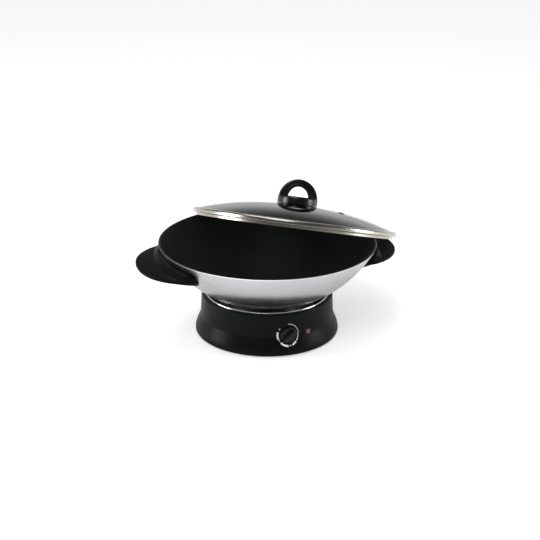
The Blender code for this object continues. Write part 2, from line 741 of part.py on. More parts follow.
def build_vent(parent, look):
    """Steam vent eyelet, seated in the sloping glass."""
    steepness = DOME_HEIGHT * DOME_SHAPE / LID_RADIUS
    slope = math.atan(steepness * (VENT_DISTANCE / LID_RADIUS) ** (DOME_SHAPE - 1))
    outer = VENT_RADIUS - GAP - GLASS_THICKNESS * math.tan(slope) / 2
    top = GAP + VENT_FLANGE_THICKNESS
    bottom = -GLASS_THICKNESS - VENT_FLANGE_THICKNESS
    outline = [
        (VENT_BORE_RADIUS, bottom),
        (outer, bottom),
        (outer, GAP),
        (VENT_RADIUS + VENT_FLANGE, GAP),
        (VENT_RADIUS + VENT_FLANGE, GAP + VENT_FLANGE_THICKNESS / 2),
        (VENT_RADIUS, top),
        (VENT_BORE_RADIUS, top),
    ]
    vent = turned("steam_vent", outline, SMALL_SIDES, look, parent)
    seat = on_axis(VENT_ANGLE, VENT_DISTANCE, glass_top(VENT_DISTANCE))
    vent.matrix_basis = seat @ Matrix.Rotation(slope, 4, "Y")


def knob_foot_bottom():
    return glass_top(GLASS_HOLE_RADIUS) + GAP + KNOB_SEAT_THICKNESS + GAP


def arch_section(angle):
    """A ribbed section of the arch at an angle from its right foot, as points in the lid's frame."""
    base = knob_foot_bottom() + KNOB_FOOT_HEIGHT - KNOB_FOOT_ROUND - OVERRUN / 2
    rise = ARCH_HEIGHT - (base - knob_foot_bottom())
    thickness = ARCH_THICKNESS + ARCH_LEG_SWELL * math.cos(angle) ** 2
    half = ARCH_DEPTH / 2
    groove = ARCH_GROOVE_WIDTH / 2
    side = [
        (half, -ARCH_EDGE),
        (half, groove - thickness / 2),
        (half - ARCH_GROOVE_DEPTH, -thickness / 2),
        (half, -groove - thickness / 2),
        (half, ARCH_EDGE - thickness),
    ]
    outline = [(-across, inward) for across, inward in side[::-1]]
    outline.append((ARCH_EDGE - half, 0))
    for number in range(1, ARCH_RIBS):
        valley = ARCH_DEPTH * (number / ARCH_RIBS - 0.5)
        outline += [(valley - groove, 0), (valley, -ARCH_GROOVE_DEPTH), (valley + groove, 0)]
    outline += [(half - ARCH_EDGE, 0), *side, (half - ARCH_EDGE, -thickness), (ARCH_EDGE - half, -thickness)]
    points = []
    for across, inward in outline:
        x = (ARCH_HALF_WIDTH + inward) * math.cos(angle)
        z = base + (rise + inward) * math.sin(angle)
        points.append((x, across, z))
    return points


def build_lid_handle(parent, look):
    bottom = knob_foot_bottom()
    top = bottom + KNOB_FOOT_HEIGHT
    shoulder = KNOB_FOOT_RADIUS - KNOB_FOOT_ROUND
    corner = arc((shoulder, top - KNOB_FOOT_ROUND), KNOB_FOOT_ROUND, 0, math.radians(90), 3)
    seat_room = KNOB_SEAT_RADIUS + GAP
    lip = glass_top(KNOB_SEAT_RADIUS) + GAP
    outline = [(0, bottom), (seat_room, bottom), (seat_room, lip), (KNOB_FOOT_RADIUS, lip), *corner, (0, top)]
    foot = turned("lid_handle", outline, KNOB_SIDES, look, parent)
    steps = 13
    rings = [arch_section(math.pi * i / steps) for i in range(steps + 1)]
    join(foot, cutter("arch", lofted_mesh(rings), look, parent))
    bore = turned_mesh(rod_outline(LID_SCREW_RADIUS + GAP, bottom - OVERRUN, screw_tip() + GAP), TINY_SIDES)
    cut(foot, cutter("lid_handle_bore", bore, look, parent))


def screw_tip():
    return glass_bottom(GLASS_HOLE_RADIUS) - GAP * 2 - LID_WASHER_THICKNESS + LID_SCREW_LENGTH


def build_lid_fixings(parent, seat_look, washer_look, screw_look):
    seat_bottom = glass_top(GLASS_HOLE_RADIUS) + GAP
    bore = LID_SCREW_RADIUS + GAP
    seat = tube_outline(bore, KNOB_SEAT_RADIUS - GAP, seat_bottom, seat_bottom + KNOB_SEAT_THICKNESS)
    turned("lid_handle_seat", seat, KNOB_SIDES, seat_look, parent)
    washer_top = glass_bottom(LID_WASHER_RADIUS) - GAP
    washer_bottom = washer_top - LID_WASHER_THICKNESS
    washer = tube_outline(bore, LID_WASHER_RADIUS, washer_bottom, washer_top)
    turned("lid_washer", washer, SMALL_SIDES, washer_look, parent)
    head_top = washer_bottom - GAP
    screw = [
        (0, head_top - LID_SCREW_HEAD_HEIGHT),
        (LID_SCREW_RADIUS, head_top - LID_SCREW_HEAD_HEIGHT),
        (LID_SCREW_HEAD_RADIUS, head_top - LID_SCREW_HEAD_HEIGHT / 2),
        (LID_SCREW_HEAD_RADIUS, head_top),
        (LID_SCREW_RADIUS, head_top),
        (LID_SCREW_RADIUS, screw_tip()),
        (0, screw_tip()),
    ]
    turned("lid_screw", screw, TINY_SIDES, screw_look, parent)


# Base housing

def flare_radius(height):
    """The side of the base: nearly straight, then swelling out to a rounded foot."""
    if height > BASE_WAIST_HEIGHT:
        share = (height - BASE_WAIST_HEIGHT) / (BASE_TOP - BASE_WAIST_HEIGHT)
        return BASE_WAIST_RADIUS + (BASE_TOP_RADIUS - BASE_WAIST_RADIUS) * share
    share = (1 - (height / BASE_WAIST_HEIGHT) ** 2) ** BASE_FLARE_SHAPE
    return BASE_WAIST_RADIUS + BASE_SWELL * share


def base_side(steps):
    """The outer side from the top corner down to the bottom edge."""
    top = (BASE_TOP_RADIUS - BASE_TOP_ROUND, BASE_TOP - BASE_TOP_ROUND)
    line = arc(top, BASE_TOP_ROUND, math.radians(90), 0, 2)
    drop = BASE_WAIST_HEIGHT - BASE_FLARE_BOTTOM
    heights = [BASE_WAIST_HEIGHT - drop * (i / steps) ** BASE_RING_SPREAD for i in range(steps + 1)]
    line += [(flare_radius(height), height) for height in heights]
    centre = (flare_radius(BASE_FLARE_BOTTOM) - BASE_BOTTOM_ROUND, BASE_BOTTOM + BASE_BOTTOM_ROUND)
    return line + arc(centre, BASE_BOTTOM_ROUND, 0, math.radians(-75), 3)


def base_inner_radius(height):
    return flare_radius(height) - BASE_WALL


def foot_inner_radius():
    return BASE_WAIST_RADIUS + BASE_SWELL - BASE_WALL - BASE_BOTTOM_ROUND / 2


def build_housing(parent, look):
    outside = [(BASE_MOUTH_RADIUS + GAP, BASE_TOP)] + base_side(5)
    foot_inside = foot_inner_radius()
    drop = BASE_WAIST_HEIGHT - BASE_FLARE_BOTTOM
    heights = [BASE_FLARE_BOTTOM + drop * i / 3 for i in range(4)]
    inside = [(foot_inside, BASE_BOTTOM)]
    inside += [(min(base_inner_radius(height), foot_inside), height) for height in heights]
    ledge_bottom = LEDGE_TOP - LEDGE_THICKNESS
    inside += [
        (base_inner_radius(ledge_bottom), ledge_bottom),
        (LEDGE_RADIUS, ledge_bottom),
        (LEDGE_RADIUS, LEDGE_TOP),
        (BASE_MOUTH_RADIUS, LEDGE_TOP),
        (BASE_MOUTH_RADIUS, BASE_TOP - GAP),
    ]
    housing = turned("base_housing", outside + inside, BASE_SIDES, look, parent)
    for place in spread_places(BOSS_COUNT, BOSS_CIRCLE_RADIUS, math.radians(45)):
        boss_mesh = turned_mesh(rod_outline(BOSS_RADIUS, COVER_TOP + GAP, BOSS_TOP), SMALL_SIDES)
        boss = cutter("boss", boss_mesh, look, parent)
        boss.matrix_basis = place
        join(housing, boss)
    for place in spread_places(BOSS_COUNT, BOSS_CIRCLE_RADIUS, math.radians(45)):
        depth = COVER_HEIGHT + COVER_SCREW_LENGTH + GAP
        hole = turned_mesh(rod_outline(COVER_SCREW_RADIUS + GAP, 0, depth), TINY_SIDES)
        tool = cutter("boss_hole", hole, look, parent)
        tool.matrix_basis = place
        cut(housing, tool)
    build_dial_well(housing, look, parent)
    side_hole(housing, FRONT, DIAL_HEIGHT, THERMOSTAT_NECK_RADIUS + GAP, look)
    side_hole(housing, GLAND_ANGLE, GLAND_HEIGHT, GLAND_NECK_RADIUS + GAP, look)
    window = LAMP_LENS_SIDE + 2 * GAP
    tool = cutter("lamp_window", prism_mesh(rectangle(window, window), -OVERRUN, OVERRUN), look, parent)
    tool.matrix_basis = outward_axis(LAMP_ANGLE, flare_radius(LAMP_HEIGHT) - BASE_WALL / 2, LAMP_HEIGHT)
    cut(housing, tool)


def build_dial_well(housing, look, parent):
    """A flat round seat sunk into the foot's swell, so that the dial stands close to the wall."""
    radius = DIAL_RADIUS + RUNNING_GAP
    reach = BASE_SWELL + OVERRUN
    wall = turned_mesh(rod_outline(radius + DIAL_WELL_WALL, -BASE_WALL, reach), RING_SIDES)
    seat = cutter("dial_seat", wall, look, parent)
    seat.matrix_basis = dial_frame()
    skin = [(radius_out - RUNNING_GAP, height) for radius_out, height in base_side(5)[2:]]
    core = turned_mesh([(0, skin[0][1]), *skin, (0, skin[-1][1])], BASE_SIDES)
    combine(seat, cutter("dial_seat_limit", core, look, parent), "INTERSECT")
    join(housing, seat)
    tool = cutter("dial_well", turned_mesh(rod_outline(radius, 0, reach), RING_SIDES), look, parent)
    tool.matrix_basis = dial_frame()
    cut(housing, tool)


def side_hole(housing, angle, height, radius, look):
    mesh = turned_mesh(rod_outline(radius, -OVERRUN, OVERRUN), SMALL_SIDES)
    tool = cutter("side_hole", mesh, look)
    tool.matrix_basis = outward_axis(angle, flare_radius(height) - BASE_WALL / 2, height)
    cut(housing, tool)


def spread_places(count, radius, start):
    return [on_axis(start + math.tau * i / count, radius) for i in range(count)]


# Bottom cover, feet and screws

def build_cover(parent, look):
    radius = foot_inner_radius() - RUNNING_GAP
    pad = COVER_HEIGHT - COVER_PAD_DEPTH
    outline = [
        (0, pad),
        (COVER_PAD_RADIUS, pad),
        (COVER_PAD_RADIUS + COVER_PAD_DEPTH, COVER_HEIGHT),
        (radius, COVER_HEIGHT),
        (radius, COVER_TOP),
        (0, COVER_TOP),
    ]
    cover = turned("bottom_cover", outline, RING_SIDES, look, parent)
    for place in spread_places(BOSS_COUNT, BOSS_CIRCLE_RADIUS, math.radians(45)):
        cover_hole(cover, place, COVER_SCREW_RADIUS + GAP, look, parent)
    for place in spread_places(FOOT_COUNT, FOOT_CIRCLE_RADIUS, 0):
        cover_hole(cover, place, FOOT_STEM_RADIUS + GAP, look, parent)
    for place in spread_places(VENT_SLOT_COUNT, VENT_SLOT_CIRCLE_RADIUS, 0):
        slot = prism_mesh(rectangle(VENT_SLOT_LENGTH, VENT_SLOT_WIDTH), 0, COVER_TOP + OVERRUN)
        tool = cutter("vent_slot", slot, look, parent)
        tool.matrix_basis = place
        cut(cover, tool)


def cover_hole(cover, place, radius, look, parent):
    hole = turned_mesh(rod_outline(radius, 0, COVER_TOP + OVERRUN), TINY_SIDES)
    tool = cutter("cover_hole", hole, look, parent)
    tool.matrix_basis = place
    cut(cover, tool)


def build_feet(parent, look):
    pad_top = COVER_HEIGHT - GAP
    outline = [
        (0, 0),
        (FOOT_RADIUS - pad_top / 2, 0),
        (FOOT_RADIUS, pad_top),
        (FOOT_STEM_RADIUS, pad_top),
        (FOOT_STEM_RADIUS, FOOT_STEM_HEIGHT - FOOT_STEM_RADIUS / 2),
        (FOOT_STEM_RADIUS / 2, FOOT_STEM_HEIGHT),
        (0, FOOT_STEM_HEIGHT),
    ]
    for number, place in enumerate(spread_places(FOOT_COUNT, FOOT_CIRCLE_RADIUS, 0), 1):
        foot = turned(f"rubber_foot_{number}", outline, SMALL_SIDES, look, parent)
        foot.matrix_basis = place


def build_cover_screws(parent, look):
    head_top = COVER_HEIGHT - GAP
    head_bottom = head_top - COVER_SCREW_HEAD_HEIGHT
    outline = [
        (0, head_bottom),
        (COVER_SCREW_RADIUS, head_bottom),
        (COVER_SCREW_HEAD_RADIUS, (head_bottom + head_top) / 2),
        (COVER_SCREW_HEAD_RADIUS, head_top),
        (COVER_SCREW_RADIUS, head_top),
        (COVER_SCREW_RADIUS, head_top + COVER_SCREW_LENGTH),
        (0, head_top + COVER_SCREW_LENGTH),
    ]
    for number, place in enumerate(spread_places(BOSS_COUNT, BOSS_CIRCLE_RADIUS, math.radians(45)), 1):
        screw = turned(f"cover_screw_{number}", outline, TINY_SIDES, look, parent)
        screw.matrix_basis = place


# Ring, dish, heating plate and element

def build_ring(parent, look):
    bottom = LEDGE_TOP + GAP + DISH_SHEET + GAP
    middle = (RING_OUTER_RADIUS + RING_INNER_RADIUS) / 2
    half = (RING_OUTER_RADIUS - RING_INNER_RADIUS) / 2
    crown = arc((middle, RING_TOP - half), half, 0, math.pi, 3)
    outline = [(RING_INNER_RADIUS, bottom), (RING_OUTER_RADIUS, bottom), *crown]
    turned("trim_ring", outline, BASE_SIDES, look, parent)


def build_dish(parent, look):
    """Polished dish that hangs from the ledge and carries the heating plate."""
    under = [
        (RING_OUTER_RADIUS, LEDGE_TOP + GAP),
        (DISH_WALL_TOP_RADIUS, LEDGE_TOP + GAP),
        (DISH_FLOOR_RADIUS, DISH_FLOOR_HEIGHT),
        (GUIDE_RADIUS + GAP, DISH_FLOOR_HEIGHT),
    ]
    over = [
        (GUIDE_RADIUS + GAP, DISH_FLOOR_TOP),
        (DISH_FLOOR_RADIUS - DISH_SHEET / 2, DISH_FLOOR_TOP),
        (DISH_WALL_TOP_RADIUS - DISH_SHEET, LEDGE_TOP + GAP + DISH_SHEET),
        (RING_OUTER_RADIUS, LEDGE_TOP + GAP + DISH_SHEET),
    ]
    dish = turned("reflector_dish", under + over, RING_SIDES, look, parent)
    for angle in element_end_angles():
        hole_outline = rod_outline(ELEMENT_HOLE_RADIUS, DISH_FLOOR_HEIGHT - OVERRUN, DISH_FLOOR_TOP + OVERRUN)
        hole = turned_mesh(hole_outline, TINY_SIDES)
        tool = cutter("element_hole", hole, look, parent)
        tool.matrix_basis = on_axis(angle, ELEMENT_CIRCLE_RADIUS)
        cut(dish, tool)


def build_plate(parent, look):
    outline = [
        (PLATE_HOLE_RADIUS, PLATE_BOTTOM),
        (PLATE_RADIUS, PLATE_BOTTOM),
        (PLATE_RADIUS, PLATE_TOP - PLATE_ROUND),
        (PLATE_RADIUS - PLATE_ROUND, PLATE_TOP),
        (PLATE_HOLE_RADIUS, PLATE_TOP),
    ]
    turned("heating_plate", outline, RING_SIDES, look, parent)


def build_spacers(parent, look):
    outline = rod_outline(SPACER_RADIUS, DISH_FLOOR_TOP + GAP, PLATE_BOTTOM - GAP)
    for number, place in enumerate(spread_places(SPACER_COUNT, SPACER_CIRCLE_RADIUS, math.radians(30)), 1):
        spacer = turned(f"plate_spacer_{number}", outline, TINY_SIDES, look, parent)
        spacer.matrix_basis = place


def element_end_angles():
    middle = math.radians(90)
    return (middle + ELEMENT_OPENING / 2, middle - ELEMENT_OPENING / 2 + math.tau)


def build_element(parent, look):
    """Tubular element: an open ring whose ends turn down through the dish."""
    start, end = element_end_angles()
    steps = 28
    bend_turn = ELEMENT_BEND / ELEMENT_CIRCLE_RADIUS
    ring = []
    for i in range(steps + 1):
        angle = start + bend_turn + (end - start - 2 * bend_turn) * i / steps
        ring.append((angle, ELEMENT_HEIGHT))
    bend = []
    for quarter in (math.radians(0), math.radians(30), math.radians(60)):
        turn = bend_turn * (1 - math.sin(quarter + math.radians(30)))
        drop = ELEMENT_BEND * (1 - math.cos(quarter + math.radians(30)))
        bend.append((turn, ELEMENT_HEIGHT - drop))
    low = (0.0, ELEMENT_HEIGHT - ELEMENT_BEND)
    last = (0.0, ELEMENT_HEIGHT - ELEMENT_DROP)
    first_leg = [(start + turn, z) for turn, z in [last, low, *bend[1::-1]]]
    last_leg = [(end - turn, z) for turn, z in [*bend[:2], low, last]]
    route = first_leg + ring + last_leg
    points = [(ELEMENT_CIRCLE_RADIUS * math.cos(a), ELEMENT_CIRCLE_RADIUS * math.sin(a), z) for a, z in route]
    wire("heating_element", points, ELEMENT_TUBE_RADIUS, 1, look, parent)


def build_terminals(parent, look):
    top = ELEMENT_HEIGHT - ELEMENT_DROP - GAP
    for number, angle in enumerate(element_end_angles(), 1):
        tab = box(
            f"element_terminal_{number}",
            TERMINAL_WIDTH,
            TERMINAL_THICKNESS,
            top - TERMINAL_LENGTH,
            top,
            look,
            parent,
        )
        tab.matrix_basis = on_axis(angle, ELEMENT_CIRCLE_RADIUS)


# Sensor that the pan presses

def build_guide(parent, look):
    inner = GUIDE_RADIUS - GUIDE_WALL
    flange_bottom = DISH_FLOOR_TOP + GAP
    outline = [
        (BUTTON_STEM_RADIUS + RUNNING_GAP, GUIDE_BOTTOM),
        (GUIDE_RADIUS, GUIDE_BOTTOM),
        (GUIDE_RADIUS, flange_bottom),
        (GUIDE_FLANGE_RADIUS, flange_bottom),
        (GUIDE_FLANGE_RADIUS, flange_bottom + GUIDE_FLANGE_THICKNESS),
        (GUIDE_RADIUS, flange_bottom + GUIDE_FLANGE_THICKNESS),
        (GUIDE_RADIUS, PLATE_TOP - GUIDE_WALL),
        (inner, PLATE_TOP - GUIDE_WALL),
        (inner, GUIDE_FLOOR),
        (BUTTON_STEM_RADIUS + RUNNING_GAP, GUIDE_FLOOR),
    ]
    turned("sensor_guide", outline, 24, look, parent)


def build_button(parent, look):
    under = PLATE_TOP - BUTTON_HEAD
    outline = [
        (0, under - BUTTON_STEM_LENGTH),
        (BUTTON_STEM_RADIUS, under - BUTTON_STEM_LENGTH),
        (BUTTON_STEM_RADIUS, under),
        (BUTTON_RADIUS, under),
        (BUTTON_RADIUS, PLATE_TOP - GAP),
        (BUTTON_RADIUS - GAP, PLATE_TOP),
        (0, PLATE_TOP),
    ]
    turned("sensor_button", outline, 24, look, parent)


def least_turn_gap(points, per_turn):
    """The least room between one turn of a coil and the next, measured from point to point."""
    pairs = zip(points, points[per_turn:])
    return min((Vector(a) - Vector(b)).length for a, b in pairs) - 2 * SPRING_WIRE_RADIUS


def build_spring(parent, look):
    low = GUIDE_FLOOR + GAP + SPRING_WIRE_RADIUS
    high = PLATE_TOP - BUTTON_HEAD - GAP - SPRING_WIRE_RADIUS
    per_turn = 9
    count = SPRING_TURNS * per_turn
    points = []
    for i in range(count + 1):
        angle = math.tau * i / per_turn
        height = low + (high - low) * i / count
        points.append((SPRING_RADIUS * math.cos(angle), SPRING_RADIUS * math.sin(angle), height))
    wire("sensor_spring", points, SPRING_WIRE_RADIUS, 1, look, parent)
    print("sensor_spring: least gap between turns", round(least_turn_gap(points, per_turn), 5), "m")


# Thermostat, dial and lamp: frames with local Z pointing out of the side of the base

def dial_frame():
    return outward_axis(FRONT, flare_radius(DIAL_HEIGHT), DIAL_HEIGHT)


def thermostat_face():
    """Where the thermostat's front face lies, measured from the outer wall."""
    inner = base_inner_radius(DIAL_HEIGHT + THERMOSTAT_HEIGHT / 2)
    return math.sqrt(inner**2 - (THERMOSTAT_WIDTH / 2) ** 2) - GAP * 2 - flare_radius(DIAL_HEIGHT)


def build_thermostat(parent, look):
    face = thermostat_face()
    body = add_object(
        "thermostat",
        prism_mesh(rectangle(THERMOSTAT_HEIGHT, THERMOSTAT_WIDTH), face - THERMOSTAT_DEPTH, face),
        look,
        parent,
    )
    body.matrix_basis = dial_frame()
    neck = turned_mesh(rod_outline(THERMOSTAT_NECK_RADIUS, face - GAP, -GAP), SMALL_SIDES)
    tool = cutter("thermostat_neck", neck, look, parent)
    tool.matrix_basis = dial_frame()
    join(body, tool)
    bore = turned_mesh(rod_outline(SHAFT_RADIUS + GAP, face - SHAFT_SINK - GAP, OVERRUN), SMALL_SIDES)
    tool = cutter("thermostat_bore", bore, look, parent)
    tool.matrix_basis = dial_frame()
    cut(body, tool)


def build_shaft(parent, look):
    turned(
        "thermostat_shaft",
        rod_outline(SHAFT_RADIUS, thermostat_face() - SHAFT_SINK, RUNNING_GAP + SHAFT_REACH),
        SMALL_SIDES,
        look,
        parent,
    )


def build_dial(parent, look):
    """Round knob with a raised grip bar across it, narrowing to both ends."""
    skirt_top = RUNNING_GAP + DIAL_SKIRT
    top = RUNNING_GAP + DIAL_DEPTH
    rim = DIAL_RADIUS - RUNNING_GAP
    outline = [
        (0, RUNNING_GAP),
        (DIAL_RADIUS, RUNNING_GAP),
        (DIAL_RADIUS, skirt_top - RUNNING_GAP),
        (rim, skirt_top),
        (0, skirt_top),
    ]
    dial = turned("dial_knob", outline, 32, look, parent)
    steps = 6
    bar = []
    for sign in (1, -1):
        for i in range(steps):
            share = 2 * i / steps - 1
            along = -sign * share * (rim - GAP)
            across = sign * DIAL_GRIP_WIDTH / 2 * (1 - share**2 * DIAL_GRIP_NARROWING_SHARE)
            bar.append((along, across))
    join(dial, cutter("dial_grip", prism_mesh(bar, skirt_top - RUNNING_GAP, top), look, parent))
    bore = turned_mesh(
        rod_outline(SHAFT_RADIUS + GAP, RUNNING_GAP - OVERRUN, RUNNING_GAP + SHAFT_REACH + GAP), SMALL_SIDES
    )
    cut(dial, cutter("dial_bore", bore, look, parent))


def lamp_frame():
    return outward_axis(LAMP_ANGLE, flare_radius(LAMP_HEIGHT), LAMP_HEIGHT)


def build_lamp(parent, lens_look, holder_look, bulb_look):
    inner = base_inner_radius(LAMP_HEIGHT + LAMP_HOLDER_SIDE / 2)
    face = math.sqrt(inner**2 - (LAMP_HOLDER_SIDE / 2) ** 2) - GAP * 2 - flare_radius(LAMP_HEIGHT)
    lens_outline = rectangle(LAMP_LENS_SIDE, LAMP_LENS_SIDE)
    lens_mesh = prism_mesh(lens_outline, face - LAMP_HOLDER_WALL, LAMP_LENS_PROUD)
    lens = add_object("lamp_lens", lens_mesh, lens_look, parent)
    lens.matrix_basis = lamp_frame()
    edge = lens.modifiers.new("edge", "BEVEL")
    edge.width = LAMP_LENS_PROUD / 2
    edge.segments = 1
    back = face - LAMP_HOLDER_DEPTH
    holder_mesh = prism_mesh(rectangle(LAMP_HOLDER_SIDE, LAMP_HOLDER_SIDE), back, face)
    holder = add_object("lamp_holder", holder_mesh, holder_look, parent)
    holder.matrix_basis = lamp_frame()
    room = LAMP_LENS_SIDE + 2 * GAP
    room_mesh = prism_mesh(rectangle(room, room), back + LAMP_HOLDER_WALL, face + OVERRUN)
    tool = cutter("lamp_room", room_mesh, holder_look, parent)
    tool.matrix_basis = lamp_frame()
    cut(holder, tool)
    bulb_low = back + LAMP_HOLDER_WALL + GAP
    bulb_high = bulb_low + LAMP_BULB_LENGTH
    outline = [
        (0, bulb_low),
        (LAMP_BULB_RADIUS, bulb_low),
        *arc((0, bulb_high - LAMP_BULB_RADIUS), LAMP_BULB_RADIUS, 0, math.radians(90), 3),
    ]
    bulb = turned("lamp_bulb", outline, TINY_SIDES, bulb_look, parent)
    bulb.matrix_basis = lamp_frame()


# Supply side

def build_gland(parent, look):
    """Cord gland in the rear wall, a flange on each side of the wall and an open bore."""
    side = flare_radius(GLAND_HEIGHT)
    sag = side - math.sqrt(side**2 - GLAND_FLANGE_RADIUS**2)
    lean = GLAND_FLANGE_RADIUS * (BASE_WAIST_RADIUS - BASE_TOP_RADIUS) / (BASE_TOP - BASE_WAIST_HEIGHT)
    outer = GAP + lean
    inner = -BASE_WALL - GAP - lean - sag
    outline = [
        (GLAND_BORE_RADIUS, inner - GLAND_FLANGE_THICKNESS),
        (GLAND_FLANGE_RADIUS, inner - GLAND_FLANGE_THICKNESS),
        (GLAND_FLANGE_RADIUS, inner),
        (GLAND_NECK_RADIUS, inner),
        (GLAND_NECK_RADIUS, outer),
        (GLAND_FLANGE_RADIUS, outer),
        (GLAND_FLANGE_RADIUS, outer + GLAND_FLANGE_THICKNESS / 2),
        (GLAND_NECK_RADIUS, outer + GLAND_FLANGE_THICKNESS),
        (GLAND_NECK_RADIUS - RUNNING_GAP, outer + GLAND_NOSE),
        (GLAND_BORE_RADIUS, outer + GLAND_NOSE),
    ]
    gland = turned("cord_gland", outline, SMALL_SIDES, look, parent)
    gland.matrix_basis = outward_axis(GLAND_ANGLE, side, GLAND_HEIGHT)


def pole_offset(number):
    return BLOCK_WIDTH * ((number + 0.5) / BLOCK_POLES - 0.5)


def build_block(parent, look):
    bottom = COVER_TOP + GAP
    top = bottom + BLOCK_HEIGHT
    block = box("terminal_block", BLOCK_WIDTH, BLOCK_DEPTH, bottom, top, look, parent)
    block.matrix_basis = Matrix.Translation((0, BLOCK_DISTANCE, 0))
    for number in range(BLOCK_POLES):
        hole = turned_mesh(rod_outline(BLOCK_HOLE_RADIUS, (bottom + top) / 2, top + OVERRUN), TINY_SIDES)
        tool = cutter("block_hole", hole, look, parent)
        tool.matrix_basis = Matrix.Translation((pole_offset(number), BLOCK_DISTANCE, 0))
        cut(block, tool)


def fuse_height():
    return DISH_FLOOR_HEIGHT - GAP - FUSE_RADIUS


def build_fuse(parent, look):
    half = FUSE_LENGTH / 2
    nose = FUSE_RADIUS / 2
    outline = [
        (0, -half),
        (nose, -half),
        (FUSE_RADIUS, nose - half),
        (FUSE_RADIUS, half - nose),
        (nose, half),
        (0, half),
    ]
    fuse = turned("thermal_fuse", outline, TINY_SIDES, look, parent)
    lying = Matrix.Rotation(math.radians(90), 4, "X")
    fuse.matrix_basis = on_axis(FUSE_ANGLE, FUSE_DISTANCE, fuse_height()) @ lying


def build_wires(parent, looks):
    """Three leads in the base: block to thermostat, thermostat to element, and element to block."""
    block_top = COVER_TOP + GAP + BLOCK_HEIGHT
    pole_bottom = block_top - BLOCK_HEIGHT / 2 + GAP
    rise = BLOCK_HEIGHT
    tab_low = ELEMENT_HEIGHT - ELEMENT_DROP - GAP - TERMINAL_LENGTH - RUNNING_GAP
    first, second = element_end_angles()
    thermostat_back = flare_radius(DIAL_HEIGHT) + thermostat_face() - THERMOSTAT_DEPTH - GAP
    side = THERMOSTAT_WIDTH / 4
    left_tab = (ELEMENT_CIRCLE_RADIUS * math.cos(first), ELEMENT_CIRCLE_RADIUS * math.sin(first))
    right_tab = (ELEMENT_CIRCLE_RADIUS * math.cos(second), ELEMENT_CIRCLE_RADIUS * math.sin(second))
    low = COVER_TOP + WIRE_RADIUS + RUNNING_GAP
    sensor_clear = GUIDE_FLANGE_RADIUS * 2
    supply = [
        (pole_offset(0), BLOCK_DISTANCE, pole_bottom),
        (pole_offset(0), BLOCK_DISTANCE, block_top + rise / 2),
        (pole_offset(0) - rise, BLOCK_DISTANCE - rise, block_top),
        (-sensor_clear, 0, low + rise / 2),
        (-side - rise / 2, -thermostat_back + 2 * rise, DIAL_HEIGHT - rise / 2),
        (-side, -thermostat_back + rise, DIAL_HEIGHT),
        (-side, -thermostat_back, DIAL_HEIGHT),
    ]
    wire("wire_supply", smooth_route(supply, 3), WIRE_RADIUS, 1, looks[0], parent)
    heat = [
        (side, -thermostat_back, DIAL_HEIGHT),
        (side, -thermostat_back + rise, DIAL_HEIGHT),
        (side + rise / 2, -thermostat_back + 2 * rise, DIAL_HEIGHT - rise / 2),
        (sensor_clear * 3 / 2, 0, low + rise / 2),
        (right_tab[0] + rise / 2, right_tab[1] - 2 * rise, low + rise / 3),
        (right_tab[0], right_tab[1], tab_low - rise / 3),
        (right_tab[0], right_tab[1], tab_low),
    ]
    wire("wire_heat", smooth_route(heat, 3), WIRE_RADIUS, 1, looks[1], parent)
    back = [
        (pole_offset(1), BLOCK_DISTANCE, pole_bottom),
        (pole_offset(1), BLOCK_DISTANCE, block_top + rise / 3),
        (pole_offset(1) - rise / 3, BLOCK_DISTANCE - rise / 2, block_top + rise / 2),
        (left_tab[0] + rise / 4, left_tab[1] + rise / 4, tab_low - rise / 2),
        (left_tab[0], left_tab[1], tab_low - rise / 6),
        (left_tab[0], left_tab[1], tab_low),
    ]
    wire("wire_return", smooth_route(back, 3), WIRE_RADIUS, 1, looks[2], parent)


def build_base():
    parent = add_empty("base")
    black = material("black_housing", (0.018, 0.020, 0.021), 0.42)
    steel = material("steel", (0.72, 0.73, 0.74), 0.22, 1.0)
    zinc = material("zinc_steel", (0.55, 0.56, 0.57), 0.38, 1.0)
    cast = material("cast_aluminium", (0.62, 0.63, 0.64), 0.45, 1.0)
    rubber = material("rubber", (0.02, 0.02, 0.02), 0.8)
    brown = material("phenolic", (0.10, 0.05, 0.03), 0.5)
    build_housing(parent, black)
    build_cover(parent, zinc)
    build_feet(parent, rubber)
    build_cover_screws(parent, zinc)
    build_ring(parent, steel)
    build_dish(parent, steel)
    build_plate(parent, cast)
    build_spacers(parent, zinc)
    build_element(parent, zinc)
    build_terminals(parent, zinc)
    build_guide(parent, zinc)
    build_spring(parent, steel)
    build_thermostat(parent, brown)
    build_gland(parent, rubber)
    build_block(parent, material("block", (0.85, 0.84, 0.80), 0.5))
    build_fuse(parent, cast)
    lens = material("red_lens", (0.45, 0.03, 0.02), 0.2)
    glow = material("lamp_glass", (0.9, 0.5, 0.3), 0.1, 0.0, 0.5)
    build_lamp(parent, lens, black, glow)
    leads = [
        material("lead_brown", (0.12, 0.05, 0.02), 0.5),
        material("lead_white", (0.8, 0.8, 0.78), 0.5),
        material("lead_blue", (0.05, 0.12, 0.4), 0.5),
    ]
    build_wires(parent, leads)
    sensor = add_empty("sensor")
    build_button(sensor, cast)
    knob = add_empty("dial", dial_frame() @ Matrix.Rotation(-DIAL_POINTER_TURN, 4, "Z"))
    build_dial(knob, material("dial_black", (0.015, 0.016, 0.017), 0.35))
    build_shaft(knob, zinc)


def build_pan():
    parent = add_empty("pan")
    aluminium = material("brushed_aluminium", (0.80, 0.80, 0.81), 0.35, 1.0)
    steel = material("pan_steel", (0.60, 0.61, 0.62), 0.35, 1.0)
    black = material("handle_black", (0.014, 0.015, 0.016), 0.45)
    build_bowl(parent, aluminium)
    build_base_disc(parent, steel)
    for side, turn in (("right", 0), ("left", math.pi)):
        arm = add_empty(f"arm_{side}", Matrix.Rotation(turn, 4, "Z"), parent)
        build_handle(side, arm, black)
        build_bracket(side, arm, steel)
        build_handle_screws(side, arm, steel)


